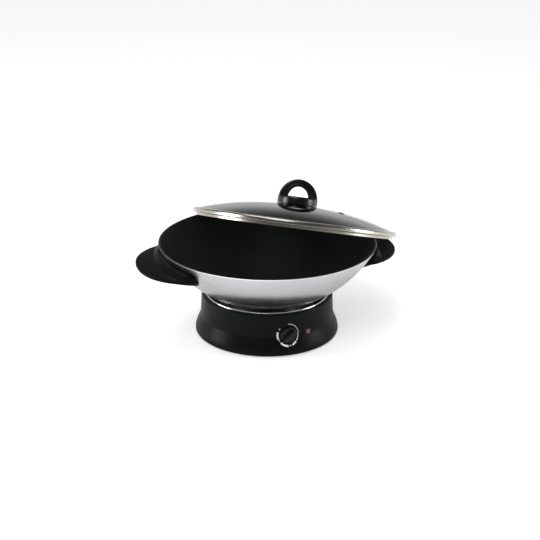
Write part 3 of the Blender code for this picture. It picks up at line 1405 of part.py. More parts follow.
def build_lid():
    parent = add_empty("lid", lid_frame())
    build_glass(parent, material("grey_glass", (0.45, 0.48, 0.48), 0.05, 0.0, 0.4))
    steel = material("rim_steel", (0.78, 0.77, 0.74), 0.22, 1.0)
    build_rim(parent, steel)
    build_vent(parent, steel)
    black = material("lid_handle_black", (0.012, 0.013, 0.014), 0.30)
    build_lid_handle(parent, black)
    silicone = material("silicone", (0.03, 0.03, 0.03), 0.6)
    build_lid_fixings(parent, black, silicone, steel)


def clear_scene():
    for old in list(bpy.data.objects):
        bpy.data.objects.remove(old, do_unlink=True)


clear_scene()
build_base()
build_pan()
build_lid()
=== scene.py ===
import functools
import math

import bmesh
import bpy
from mathutils import Matrix, Vector


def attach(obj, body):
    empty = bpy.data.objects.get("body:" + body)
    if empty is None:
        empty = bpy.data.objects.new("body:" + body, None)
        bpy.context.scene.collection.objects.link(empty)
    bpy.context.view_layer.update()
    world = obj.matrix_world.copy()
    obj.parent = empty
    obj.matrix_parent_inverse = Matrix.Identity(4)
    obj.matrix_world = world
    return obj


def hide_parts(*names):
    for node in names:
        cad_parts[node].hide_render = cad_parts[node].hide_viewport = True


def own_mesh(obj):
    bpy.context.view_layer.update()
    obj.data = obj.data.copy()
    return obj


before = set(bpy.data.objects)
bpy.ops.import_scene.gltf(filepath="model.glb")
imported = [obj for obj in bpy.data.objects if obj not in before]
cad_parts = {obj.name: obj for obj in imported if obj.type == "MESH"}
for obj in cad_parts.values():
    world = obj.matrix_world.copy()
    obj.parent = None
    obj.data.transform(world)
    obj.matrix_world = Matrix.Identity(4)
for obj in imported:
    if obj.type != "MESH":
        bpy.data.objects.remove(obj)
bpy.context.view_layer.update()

# Camera.
# It stands in front of the wok, a little to its left and above the rim,
# with the long lens of a catalogue photograph.
CAMERA_LENS = 80.1
CAMERA_DISTANCE = 2.0
CAMERA_RISE = math.radians(21.2)
CAMERA_ROLL = math.radians(0.51)
CAMERA_TURN = math.radians(-18)
AIM = Vector((0.0046, 0.0, 0.1053))


def placed(name, data):
    """Put new data in the scene as an object."""
    made = bpy.data.objects.new(name, data)
    bpy.context.scene.collection.objects.link(made)
    return made


level_right = Vector((1, 0, 0))
level_up = Vector((0, math.sin(CAMERA_RISE), math.cos(CAMERA_RISE)))
backwards = Vector((0, -math.cos(CAMERA_RISE), math.sin(CAMERA_RISE)))
rolled_right = level_right * math.cos(CAMERA_ROLL) + level_up * math.sin(CAMERA_ROLL)
rolled_up = level_up * math.cos(CAMERA_ROLL) - level_right * math.sin(CAMERA_ROLL)
camera_frame = Matrix((rolled_right, rolled_up, backwards)).transposed().to_4x4()
camera_frame.translation = AIM + backwards * CAMERA_DISTANCE
camera_data = bpy.data.cameras.new("camera")
camera_data.lens = CAMERA_LENS
camera_data.sensor_width = 36
camera_data.clip_end = 20
camera = placed("camera", camera_data)
camera.matrix_world = Matrix.Rotation(CAMERA_TURN, 4, "Z") @ camera_frame
bpy.context.scene.camera = camera


# Table, backdrop and light.
# A plain white sheet under the wok keeps its soft shadow. Large soft boxes stand overhead,
# in front and on both sides. Metal and plastic see a room that is darker above and in front.
def add_node(tree, kind, given=None, **settings):
    """Add a node with its settings, and give its inputs plain values or other nodes' sockets."""
    made = tree.nodes.new(kind)
    for key, value in settings.items():
        setattr(made, key, value)
    for key, value in (given or {}).items():
        if isinstance(value, bpy.types.NodeSocket):
            tree.links.new(value, made.inputs[key])
        else:
            made.inputs[key].default_value = value
    return made


def maths(tree, operation, *values):
    """What a maths node makes of its values."""
    return add_node(tree, "ShaderNodeMath", dict(enumerate(values)), operation=operation).outputs[0]


def seen_rays(tree, in_metal):
    """One for what the camera or a pane sees, a share of it in metal, and nought for light that bounces."""
    path = add_node(tree, "ShaderNodeLightPath").outputs
    seen = maths(tree, "MAXIMUM", path["Is Camera Ray"], path["Is Transmission Ray"])
    return maths(tree, "MAXIMUM", seen, maths(tree, "MULTIPLY", path["Is Glossy Ray"], in_metal))


def plain_finish(name, colour, roughness, metallic=0.0, **sockets):
    """A material with its plain values set on the shader's own sockets."""
    made = bpy.data.materials.new(name)
    made.use_nodes = True
    shader = made.node_tree.nodes["Principled BSDF"]
    shader.inputs["Base Color"].default_value = (*colour, 1)
    shader.inputs["Roughness"].default_value = roughness
    shader.inputs["Metallic"].default_value = metallic
    for label, value in sockets.items():
        shader.inputs[label.replace("_", " ")].default_value = value
    return made


SHEET_REACH = 4.0
SHEET_LIFT = 0.42
SHEET_IN_METAL = 0.5
WHITE = (1, 1, 1, 1)
sheet_finish = plain_finish(
    "white_sheet", (0.80, 0.80, 0.80), 0.9, 0.0, Specular_IOR_Level=0.1, Emission_Color=WHITE
)
sheet_tree = sheet_finish.node_tree
sheet_lift = maths(sheet_tree, "MULTIPLY", seen_rays(sheet_tree, SHEET_IN_METAL), SHEET_LIFT)
sheet_tree.links.new(sheet_lift, sheet_tree.nodes["Principled BSDF"].inputs["Emission Strength"])

sheet_mesh = bpy.data.meshes.new("table_sheet")
sheet_corners = [(-1, -1), (1, -1), (1, 1), (-1, 1)]
sheet_places = [(x * SHEET_REACH, y * SHEET_REACH, 0) for x, y in sheet_corners]
sheet_mesh.from_pydata(sheet_places, [], [(0, 1, 2, 3)])
sheet_mesh.materials.append(sheet_finish)
sheet = placed("table_sheet", sheet_mesh)

ROOM_LEVEL = 0.62
FRONT_SHINE = 0.30
UPPER_SHINE = 0.14
room = bpy.data.worlds.new("room")
bpy.context.scene.world = room
room.use_nodes = True
room_tree = room.node_tree
room_light = room_tree.nodes["Background"]
room_way = add_node(room_tree, "ShaderNodeTexCoord").outputs["Generated"]


def room_fall(direction, start, end, low):
    """One on the far side of a direction, falling smoothly to a low level towards it."""
    along = add_node(room_tree, "ShaderNodeVectorMath", {0: room_way, 1: direction}, operation="DOT_PRODUCT")
    levels = {0: along.outputs["Value"], 1: start, 2: end, 3: 1.0, 4: low}
    return add_node(room_tree, "ShaderNodeMapRange", levels, interpolation_type="SMOOTHSTEP").outputs[0]


front_fall = room_fall((math.sin(CAMERA_TURN), -math.cos(CAMERA_TURN), 0), 0.0, 0.8, FRONT_SHINE)
upper_fall = room_fall((0, 0, 1), 0.02, 0.34, UPPER_SHINE)
shine_level = maths(room_tree, "MULTIPLY", front_fall, upper_fall)
in_shine = add_node(room_tree, "ShaderNodeLightPath").outputs["Is Glossy Ray"]
lit_levels = {0: in_shine, 2: ROOM_LEVEL, 3: shine_level}
lit_level = add_node(room_tree, "ShaderNodeMix", lit_levels, data_type="FLOAT").outputs[0]
room_level = maths(room_tree, "MAXIMUM", lit_level, seen_rays(room_tree, 0))
room_tree.links.new(room_level, room_light.inputs["Strength"])
room_light.inputs["Color"].default_value = WHITE


def soft_box(name, place, target, width, height, power):
    """A large soft lamp at a place round the camera's own axes, turned to its target."""
    data = bpy.data.lights.new(name, "AREA")
    data.shape = "RECTANGLE"
    data.size = width
    data.size_y = height
    data.energy = power
    lamp = placed(name, data)
    turn = Matrix.Rotation(CAMERA_TURN, 4, "Z")
    spot = Vector(place)
    aim = (Vector(target) - spot).to_track_quat("-Z", "Y").to_matrix().to_4x4()
    lamp.matrix_world = turn @ Matrix.Translation(spot) @ aim


soft_box("overhead_box", (-0.3, 0.1, 1.8), (0, 0, 0.1), 1.5, 1.2, 15)
soft_box("front_box", (-0.45, -1.4, 1.5), (0, 0, 0.05), 0.9, 0.4, 7)
soft_box("left_box", (-1.5, -0.2, 0.4), (0, 0, 0.12), 0.7, 0.8, 12)
soft_box("right_box", (1.5, -0.2, 0.4), (0, 0, 0.12), 0.6, 0.7, 8)


# Pan bowl.
# A spun aluminium bowl on a sphere's curve with a flat floor, satin brushed outside,
# turned bright on the rim and coated dark inside.
SEAM = 2e-6


def outline_object(name, points):
    mesh = bpy.data.meshes.new(name)
    count = len(points)
    edges = [(i, (i + 1) % count) for i in range(count)]
    edges = [(a, b) for a, b in edges if max(points[a][0], points[b][0]) > 1e-7]
    mesh.from_pydata([(radius, 0, height) for radius, height in points], edges, [])
    return placed(name, mesh)


def open_tree(kind, name, inputs, outputs):
    """A node tree with named inputs and outputs."""
    tree = bpy.data.node_groups.new(name, kind)
    for way, sockets in (("INPUT", inputs), ("OUTPUT", outputs)):
        for label, socket in sockets.items():
            tree.interface.new_socket(label, in_out=way, socket_type="NodeSocket" + socket)
    return tree, tree.nodes.new("NodeGroupInput"), tree.nodes.new("NodeGroupOutput")


def finished(tree, form, given, result):
    """Close a geometry tree with real geometry in the finish it was given."""
    real = add_node(tree, "GeometryNodeRealizeInstances", {"Geometry": form}).outputs["Geometry"]
    paint = add_node(tree, "GeometryNodeSetMaterial", {"Geometry": real, "Material": given.outputs["Finish"]})
    tree.links.new(paint.outputs["Geometry"], result.inputs["Form"])
    return tree


def make_turning_tree():
    """Sweeps an outline of edges once round Z, one side at a time."""
    inputs = {"Outline": "Geometry", "Sides": "Int", "Finish": "Material"}
    tree, given, result = open_tree("GeometryNodeTree", "turned form", inputs, {"Form": "Geometry"})
    link = tree.links.new
    begin = add_node(tree, "GeometryNodeRepeatInput")
    end = add_node(tree, "GeometryNodeRepeatOutput")
    begin.pair_with_output(end)
    marking = {"data_type": "BOOLEAN", "domain": "EDGE"}
    marks = {"Geometry": given.outputs["Outline"], "Name": "front", "Value": True}
    mark_all = add_node(tree, "GeometryNodeStoreNamedAttribute", marks, **marking)
    link(given.outputs["Sides"], begin.inputs["Iterations"])
    link(mark_all.outputs["Geometry"], begin.inputs["Geometry"])
    front = add_node(tree, "GeometryNodeInputNamedAttribute", {"Name": "front"}, data_type="BOOLEAN")
    moving = front.outputs["Attribute"]
    edges = {"Mesh": begin.outputs["Geometry"], "Selection": moving, "Offset Scale": 0}
    grow = add_node(tree, "GeometryNodeExtrudeMesh", edges, mode="EDGES")
    marks = {"Geometry": grow.outputs["Mesh"], "Name": "front", "Value": grow.outputs["Top"]}
    mark_new = add_node(tree, "GeometryNodeStoreNamedAttribute", marks, **marking)
    step = maths(tree, "DIVIDE", math.tau, given.outputs["Sides"])
    place = add_node(tree, "GeometryNodeInputPosition").outputs[0]
    turn = add_node(tree, "ShaderNodeVectorRotate", {"Vector": place, "Angle": step}, rotation_type="Z_AXIS")
    moved = {"Geometry": mark_new.outputs["Geometry"], "Selection": moving, "Position": turn.outputs[0]}
    link(add_node(tree, "GeometryNodeSetPosition", moved).outputs["Geometry"], end.inputs["Geometry"])
    seam = {"Geometry": end.outputs["Geometry"], "Distance": SEAM}
    closed = add_node(tree, "GeometryNodeMergeByDistance", seam).outputs["Geometry"]
    clean = add_node(tree, "GeometryNodeRemoveAttribute", {"Geometry": closed, "Name": "front"})
    return finished(tree, clean.outputs["Geometry"], given, result)


def worked(made, tree, values):
    """Run a geometry tree on an object with its named inputs, and keep the plain mesh."""
    step = made.modifiers.new(tree.name, "NODES")
    step.node_group = tree
    names = {item.name: item.identifier for item in tree.interface.items_tree if item.item_type == "SOCKET"}
    for label, value in values.items():
        step[names[label]] = value
    return settled(made)


def settled(made):
    """Replace an object's mesh with its evaluated one and drop the modifiers."""
    bpy.context.view_layer.update()
    graph = bpy.context.evaluated_depsgraph_get()
    mesh = bpy.data.meshes.new_from_object(made.evaluated_get(graph))
    made.modifiers.clear()
    made.data = mesh
    return made


def smoothed(made, angle=32):
    """Turn faces outwards and shade round surfaces smoothly between their real edges."""
    work = bmesh.new()
    work.from_mesh(made.data)
    bmesh.ops.remove_doubles(work, verts=work.verts, dist=1e-6)
    bmesh.ops.recalc_face_normals(work, faces=work.faces)
    work.to_mesh(made.data)
    work.free()
    made.data.shade_smooth()
    made.data.set_sharp_from_angle(angle=math.radians(angle))
    return made


turning_tree = make_turning_tree()


def turned(name, outline, sides, finish):
    made = outline_object(name, outline)
    return smoothed(worked(made, turning_tree, {"Sides": sides, "Finish": finish}))


def eased(points, steps=4):
    """Round each corner of a closed outline that carries a third value, its radius."""
    done = []
    count = len(points)
    for i, point in enumerate(points):
        here = Vector(point[:2])
        radius = point[2] if len(point) > 2 else 0
        if not radius:
            done.append((here.x, here.y))
            continue
        before = Vector(points[i - 1][:2]) - here
        after = Vector(points[(i + 1) % count][:2]) - here
        bend = before.angle(after, math.pi)
        reach = radius / max(math.tan(bend / 2), 0.05)
        reach = min(reach, before.length * 0.48, after.length * 0.48)
        start = here + before.normalized() * reach
        end = here + after.normalized() * reach
        for k in range(steps + 1):
            t = k / steps
            spot = start * (1 - t) ** 2 + here * 2 * t * (1 - t) + end * t**2
            done.append((spot.x, spot.y))
    return done


def arc(centre, radius, start, end, steps):
    angles = [start + (end - start) * i / steps for i in range(steps + 1)]
    return [(centre[0] + radius * math.cos(a), centre[1] + radius * math.sin(a)) for a in angles]


def make_surface(name, fine, broad, broad_share, on_lathe, **setting):
    """Fine relief with a broad uneven sheen over it. On a lathe it follows radius and height."""
    inputs = {"Place": "Vector", "Scale": "Float", "Smooth": "Float", "Rough": "Float"}
    outputs = {"Roughness": "Float", "Height": "Float", "Mask": "Float"}
    tree, given, result = open_tree("ShaderNodeTree", name, inputs, outputs)
    place = given.outputs["Place"]
    fine_place = place
    if on_lathe:
        split = add_node(tree, "ShaderNodeSeparateXYZ", {0: place}).outputs
        flat = add_node(tree, "ShaderNodeCombineXYZ", {0: split[0], 1: split[1]}).outputs[0]
        reach = add_node(tree, "ShaderNodeVectorMath", {0: flat}, operation="LENGTH").outputs["Value"]
        fine_place = add_node(tree, "ShaderNodeCombineXYZ", {0: reach, 1: split[2]}).outputs[0]
    fine = {"Vector": fine_place, "Scale": given.outputs["Scale"], **fine}
    lines = add_node(tree, "ShaderNodeTexNoise", fine, **setting).outputs[0]
    sheen = add_node(tree, "ShaderNodeTexNoise", {"Vector": place, **broad}).outputs[0]
    mixed = add_node(tree, "ShaderNodeMix", {0: broad_share, 2: lines, 3: sheen}, data_type="FLOAT")
    spread = {0: mixed.outputs[0], 1: 0.3, 2: 0.7, 3: given.outputs["Smooth"], 4: given.outputs["Rough"]}
    roughness = add_node(tree, "ShaderNodeMapRange", spread).outputs[0]
    for label, value in (("Roughness", roughness), ("Height", lines), ("Mask", sheen)):
        tree.links.new(value, result.inputs[label])
    return tree


turning_lines = make_surface(
    "turning lines",
    {"Detail": 3, "Roughness": 0.7},
    {"Scale": 14, "Detail": 2},
    0.35,
    on_lathe=True,
    noise_dimensions="2D",
)
moulded_grain = make_surface("moulded grain", {"Detail": 2}, {"Scale": 22, "Detail": 3}, 0.5, on_lathe=False)


def object_place(tree, frame_of=None):
    """Object coordinates, seen from a piece's own frame if it has one."""
    place = add_node(tree, "ShaderNodeTexCoord").outputs["Object"]
    if frame_of is None:
        return place
    own = {"Vector": place, "Location": frame_of.translation, "Rotation": frame_of.to_euler()}
    return add_node(tree, "ShaderNodeMapping", own, vector_type="TEXTURE").outputs["Vector"]


def add_surface(made, group, depth, frame_of=None, **values):
    """Let a shader group drive a finish's roughness and its fine relief."""
    tree = made.node_tree
    shader = tree.nodes["Principled BSDF"]
    effect = tree.nodes.new("ShaderNodeGroup")
    effect.node_tree = group
    for label, value in values.items():
        effect.inputs[label].default_value = value
    tree.links.new(object_place(tree, frame_of), effect.inputs["Place"])
    tree.links.new(effect.outputs["Roughness"], shader.inputs["Roughness"])
    relief = {"Strength": 1.0, "Distance": depth, "Height": effect.outputs["Height"]}
    tree.links.new(add_node(tree, "ShaderNodeBump", relief).outputs[0], shader.inputs["Normal"])
    return effect


def two_tones(tree, dark, light, share):
    """Shift the shader's colour gently between two tones."""
    tones = {0: share, 6: (*dark, 1), 7: (*light, 1)}
    mixed = add_node(tree, "ShaderNodeMix", tones, data_type="RGBA").outputs[2]
    tree.links.new(mixed, tree.nodes["Principled BSDF"].inputs["Base Color"])


def patterned(group, metallic, name, dark, light, smooth, rough, depth, scale, frame_of=None, **sockets):
    """A finish in two tones whose sheen and relief follow a shader group."""
    made = plain_finish(name, light, rough, metallic, **sockets)
    effect = add_surface(made, group, depth, frame_of, Scale=scale, Smooth=smooth, Rough=rough)
    two_tones(made.node_tree, dark, light, effect.outputs["Mask"])
    return made


turned_metal = functools.partial(patterned, turning_lines, 1.0)
moulded = functools.partial(patterned, moulded_grain, 0.0)

RIM_RADIUS = 0.180
RIM_HEIGHT = 0.158
SPHERE_RADIUS = 0.204
SPHERE_HEIGHT = 0.254
BOWL_WALL = 0.0034
FLOOR_HEIGHT = 0.0591
FLOOR_EDGE = 0.058
FLOOR_BLEND = 0.088
LIP_TURN = 0.0006
LIP_WIDTH = 0.0016
SPUN_SPREAD = 0.6
SKIN, LIP, COATING = range(3)


def bowl_line(offset, floor):
    """The bowl's curve from its rim down to its flat floor, where an eased bend joins them."""
    reach = SPHERE_RADIUS + offset
    rim_angle = -math.asin((SPHERE_HEIGHT - RIM_HEIGHT) / reach)
    line = arc((0, SPHERE_HEIGHT), reach, rim_angle, -math.acos(FLOOR_BLEND / reach), 40)
    end = Vector(line[-1])
    corner = Vector((end.x - (end.y - floor) * (SPHERE_HEIGHT - end.y) / end.x, floor))
    start = Vector((FLOOR_EDGE, floor))
    for k in range(1, 9):
        t = k / 8
        point = end * (1 - t) ** 2 + corner * 2 * t * (1 - t) + start * t**2
        line.append((point.x, point.y))
    return [*line, (0, floor)]


pan_outside = bowl_line(0, FLOOR_HEIGHT)
pan_inside = bowl_line(-BOWL_WALL, FLOOR_HEIGHT + BOWL_WALL)
pan_outside[0] = (*pan_outside[0], LIP_TURN)
pan_inside[0] = (*pan_inside[0], LIP_TURN)
pan_skin = turned_metal(
    "spun_aluminium", (0.56, 0.56, 0.58), (0.63, 0.63, 0.65), 0.24, 0.32, 0.000012, 1400.0
)
pan_skin.node_tree.nodes["Principled BSDF"].inputs["Anisotropic"].default_value = SPUN_SPREAD
pan_rim = turned_metal("turned_rim", (0.80, 0.80, 0.79), (0.92, 0.91, 0.90), 0.14, 0.24, 0.00001, 2000.0)
pan_coat = moulded(
    "dark_coating", (0.006, 0.006, 0.006), (0.011, 0.010, 0.010), 0.32, 0.42, 0.000010, 900.0,
    Specular_IOR_Level=0.22,
)
pan = turned("pan_bowl_spun", eased(pan_outside + pan_inside[::-1]), 192, pan_skin)
pan.data.materials.append(pan_rim)
pan.data.materials.append(pan_coat)
for face in pan.data.polygons:
    radius = math.hypot(face.center.x, face.center.y)
    from_middle = math.hypot(radius, SPHERE_HEIGHT - face.center.z)
    in_wall = from_middle < SPHERE_RADIUS - BOWL_WALL / 2 and face.center.z > FLOOR_HEIGHT + BOWL_WALL / 2
    face.material_index = COATING if in_wall else SKIN
    if face.center.z > RIM_HEIGHT - LIP_TURN * 1.5 and radius > RIM_RADIUS - LIP_WIDTH:
        face.material_index = LIP
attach(pan, "pan")
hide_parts("pan_bowl")


# Disc under the pan.
# A flat steel disc bonded under the bowl, faced in fine rings,
# that sits on the heating plate.
FIXED_GAP = 0.0003
DISC_TOP = FLOOR_HEIGHT - FIXED_GAP
DISC_BOTTOM = DISC_TOP - 0.003
DISC_RADIUS = 0.060
disc_steel = turned_metal("faced_steel", (0.50, 0.50, 0.51), (0.64, 0.64, 0.65), 0.24, 0.42, 0.00003, 700.0)
disc_edge = [(DISC_RADIUS, DISC_BOTTOM, 0.0008), (DISC_RADIUS, DISC_TOP, 0.0003)]
disc = turned("pan_disc", eased([(0, DISC_BOTTOM), *disc_edge, (0, DISC_TOP)]), 128, disc_steel)
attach(disc, "pan")
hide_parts("pan_base_disc")


# Wing handles.
# Two moulded black wings that follow the bowl, with a raised root against it,
# a chamfer down to a flat plate and a grip lip underneath. Screws hold them to steel straps.
HANDLE_TIP = 0.2194
HANDLE_TOP = 0.1364
HANDLE_SPREAD = math.radians(31)
HANDLE_PLATE = 0.006
HANDLE_ROOT_RISE = 0.0075
HANDLE_ROOT = 0.0085
HANDLE_STEP = 0.0075
HANDLE_EDGE = 0.0018
HANDLE_LIP = 0.0085
HANDLE_LIP_INSET = 0.016
HANDLE_BLUNT = 2.35
HANDLE_SEAT = 0.0004
HANDLE_ENDS = 0.0008
THIN = 0.0003


def bowl_radius_at(height, offset=0.0):
    return math.sqrt((SPHERE_RADIUS + offset) ** 2 - (SPHERE_HEIGHT - height) ** 2)


def handle_section(angle):
    """A wing's outline at an angle round the bowl: root, chamfer, plate and grip lip."""
    root = bowl_radius_at(HANDLE_TOP)
    share = max(1 - (abs(angle) / HANDLE_SPREAD) ** HANDLE_BLUNT, 0.0)
    tip = root + HANDLE_ROOT + (HANDLE_TIP - root - HANDLE_ROOT) * share
    plate_bottom = HANDLE_TOP - HANDLE_PLATE
    fade = min((tip - root) / (HANDLE_ROOT + HANDLE_STEP), 1.0)
    bottom = plate_bottom - HANDLE_LIP * fade**3
    root_top = HANDLE_TOP + HANDLE_ROOT_RISE * fade**2
    levels = [bottom + (root_top - bottom) * i / 8 for i in range(9)]
    inner = [(bowl_radius_at(level, HANDLE_SEAT), level) for level in levels]
    root_edge = inner[-1][0] + HANDLE_ROOT * fade
    step_edge = min(root_edge + HANDLE_STEP * fade, tip - HANDLE_EDGE)
    root_edge = min(root_edge, step_edge - THIN)
    lip_edge = max(tip - HANDLE_LIP_INSET * fade, bowl_radius_at(plate_bottom, HANDLE_SEAT) + HANDLE_EDGE)
    foot_edge = max(lip_edge - HANDLE_LIP, inner[0][0] + HANDLE_EDGE)
    plate_edge = max(tip - HANDLE_EDGE * 0.6, lip_edge + THIN)
    inner[0] = (*inner[0], 0.0010)
    inner[-1] = (*inner[-1], 0.0012)
    return inner + [
        (root_edge, root_top, 0.0022),
        (step_edge, HANDLE_TOP, 0.0022),
        (tip - HANDLE_EDGE * 0.6, HANDLE_TOP, 0.0008),
        (tip, HANDLE_TOP - HANDLE_EDGE * 0.8, 0.0012),
        (tip, plate_bottom + HANDLE_EDGE * 0.8, 0.0014),
        (plate_edge, plate_bottom, 0.0010),
        (lip_edge, plate_bottom, 0.0020),
        (foot_edge, bottom, 0.0018),
    ]


def lofted(name, finish, *lofts):
    """Closed forms in one piece, each through its rings of points and capped at both ends."""
    work = bmesh.new()
    for rings in lofts:
        made = [[work.verts.new(point) for point in ring] for ring in rings]
        for near, far in zip(made, made[1:]):
            for i in range(len(near)):
                j = (i + 1) % len(near)
                work.faces.new((near[i], near[j], far[j], far[i]))
        work.faces.new(made[0])
        work.faces.new(made[-1])
    mesh = bpy.data.meshes.new(name)
    work.to_mesh(mesh)
    work.free()
    mesh.materials.append(finish)
    return placed(name, mesh)


handle_black = moulded(
    "wing_phenolic", (0.0035, 0.0040, 0.0042), (0.0060, 0.0065, 0.0068), 0.30, 0.40, 0.00003, 1100.0,
    Specular_IOR_Level=0.025,
)
HANDLE_STATIONS = 72
for side, turn in (("right", 0.0), ("left", math.pi)):
    rings = []
    for i in range(HANDLE_STATIONS + 1):
        angle = HANDLE_SPREAD * 0.985 * math.sin(math.pi / 2 * (2 * i / HANDLE_STATIONS - 1))
        section = eased(handle_section(angle), 3)
        rings.append([(r * math.cos(angle + turn), r * math.sin(angle + turn), z) for r, z in section])
    wing = smoothed(lofted(f"wing_handle_{side}", handle_black, rings), 40)
    ends = wing.modifiers.new("soft ends", "BEVEL")
    ends.width = HANDLE_ENDS
    ends.segments = 2
    ends.limit_method = "ANGLE"
    ends.angle_limit = math.radians(60)
    smoothed(settled(wing), 40)
    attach(wing, "pan")
    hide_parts(f"handle_{side}")

strap_steel = turned_metal("strap_steel", (0.45, 0.45, 0.46), (0.60, 0.60, 0.61), 0.28, 0.42, 0.00002, 900.0)
for name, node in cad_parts.items():
    if name.startswith(("handle_bracket", "handle_screw")):
        node.material_slots[0].material = strap_steel


# Base housing.
# One black moulded shell, nearly straight above and swollen at the foot,
# with a flat seat for the dial, a window for the lamp and a hole for the cord's gland.
BASE_TOP = 0.070
BASE_TOP_RADIUS = 0.1098
WAIST_RADIUS = 0.1112
WAIST_HEIGHT = 0.032
BASE_SWELL = 0.0098
FLARE_BOTTOM = 0.0085
FLARE_SHAPE = 1.25
FOOT_INSIDE = 0.1163
BASE_BOTTOM = 0.0015
BASE_WALL = 0.0027
MOUTH_RADIUS = 0.1038
LEDGE_RADIUS = 0.0985
LEDGE_TOP = 0.0622
LEDGE_BOTTOM = 0.0600
TOE_HEIGHT = 0.0055
TOE_ROUND = 0.004
DIAL_HEIGHT = 0.0355
DIAL_RADIUS = 0.0132
LAMP_ANGLE = math.radians(-71)
LAMP_HEIGHT = 0.0345
LAMP_SIDE = 0.0078
GLAND_HEIGHT = 0.040
GLAND_HOLE = 0.0058
NECK_RADIUS = 0.0051
WALL_CUT = (-0.006, 0.004)
WELL_WALL = 0.002
WELL_FRONT = 0.020
SEAT_FRONT = 0.0125
SEAT_TOP = 0.069
SEAT_INSET = 0.0006


def flare_radius(height):
    """The housing's outer radius: nearly straight above its waist, swollen below it."""
    if height > WAIST_HEIGHT:
        share = (height - WAIST_HEIGHT) / (BASE_TOP - WAIST_HEIGHT)
        return WAIST_RADIUS + (BASE_TOP_RADIUS - WAIST_RADIUS) * share
    return WAIST_RADIUS + BASE_SWELL * (1 - (height / WAIST_HEIGHT) ** 2) ** FLARE_SHAPE


def side_frame(angle, distance, height):
    """A frame on the base's side whose local Z points straight out."""
    spot = Vector((distance * math.cos(angle), distance * math.sin(angle), height))
    outwards = Matrix.Rotation(angle, 4, "Z") @ Matrix.Rotation(math.radians(90), 4, "Y")
    return Matrix.Translation(spot) @ outwards


def base_side(inset=0.0):
    heights = [WAIST_HEIGHT - (WAIST_HEIGHT - FLARE_BOTTOM) * (i / 22) ** 1.5 for i in range(23)]
    return [(flare_radius(height) - inset, height) for height in heights]


def cylinder_tool(name, radius, bottom, top, finish, place=None, sides=96):
    made = turned(name, [(0, bottom), (radius, bottom), (radius, top), (0, top)], sides, finish)
    if place:
        made.data.transform(place)
    return made


def combined(piece, tool, operation="DIFFERENCE"):
    step = piece.modifiers.new("cut", "BOOLEAN")
    step.operation = operation
    step.solver = "EXACT"
    step.object = tool
    settled(piece)
    bpy.data.objects.remove(tool)
    return piece


housing_black = moulded(
    "housing_plastic", (0.0030, 0.0042, 0.0044), (0.0052, 0.0068, 0.0070), 0.30, 0.40, 0.00001, 1600.0,
    Specular_IOR_Level=0.07,
)
foot_end = base_side()[-1][0]
housing_outline = [
    (MOUTH_RADIUS, BASE_TOP, 0.0005),
    (BASE_TOP_RADIUS - 0.0002, BASE_TOP, 0.0030),
    *base_side(),
    (foot_end, TOE_HEIGHT),
    *arc((foot_end - TOE_ROUND, TOE_HEIGHT), TOE_ROUND, -0.15, -1.3, 6),
    (FOOT_INSIDE, BASE_BOTTOM),
    (FOOT_INSIDE, FLARE_BOTTOM),
    *[(flare_radius(height) - BASE_WALL, height) for height in (0.0163, 0.0242, WAIST_HEIGHT, LEDGE_BOTTOM)],
    (LEDGE_RADIUS, LEDGE_BOTTOM, 0.0004),
    (LEDGE_RADIUS, LEDGE_TOP, 0.0004),
    (MOUTH_RADIUS, LEDGE_TOP),
]
housing = turned("base_shell", eased(housing_outline, 6), 192, housing_black)
dial_place = side_frame(math.radians(-90), flare_radius(DIAL_HEIGHT), DIAL_HEIGHT)
WELL_RADIUS = DIAL_RADIUS + 0.0008
seat = cylinder_tool(
    "seat_block", WELL_RADIUS + WELL_WALL, -BASE_WALL, SEAT_FRONT, housing_black, dial_place
)
skin = base_side(SEAT_INSET)
seat_limit = [(0, SEAT_TOP), (skin[0][0], SEAT_TOP), *skin, (0, skin[-1][1])]
combined(seat, turned("seat_limit", seat_limit, 192, housing_black), "INTERSECT")
combined(housing, seat, "UNION")
combined(housing, cylinder_tool("well_cutter", WELL_RADIUS, 0, WELL_FRONT, housing_black, dial_place))
combined(housing, cylinder_tool("neck_cutter", NECK_RADIUS, *WALL_CUT, housing_black, dial_place))
gland_place = side_frame(math.radians(90), flare_radius(GLAND_HEIGHT), GLAND_HEIGHT)
combined(housing, cylinder_tool("gland_cutter", GLAND_HOLE, *WALL_CUT, housing_black, gland_place))
lamp_place = side_frame(LAMP_ANGLE, flare_radius(LAMP_HEIGHT), LAMP_HEIGHT)


def block(name, width, depth, bottom, top, finish, place=None, bevel=0.0):
    mesh = bpy.data.meshes.new(name)
    corners = [(x * width / 2, y * depth / 2, z) for z in (bottom, top) for x, y in sheet_corners]
    faces = [(3, 2, 1, 0), (4, 5, 6, 7), (0, 1, 5, 4), (1, 2, 6, 5), (2, 3, 7, 6), (3, 0, 4, 7)]
    mesh.from_pydata(corners, [], faces)
    mesh.materials.append(finish)
    made = placed(name, mesh)
    if bevel:
        soft = made.modifiers.new("soft edges", "BEVEL")
        soft.width = bevel
        soft.segments = 3
        settled(made)
    if place:
        made.data.transform(place)
    return smoothed(made, 45)


window_side = LAMP_SIDE + 2 * FIXED_GAP
window = block("window_cutter", window_side, window_side, *WALL_CUT, housing_black, lamp_place)
combined(housing, window)
smoothed(housing, 30)
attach(housing, "base")
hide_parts("base_housing")


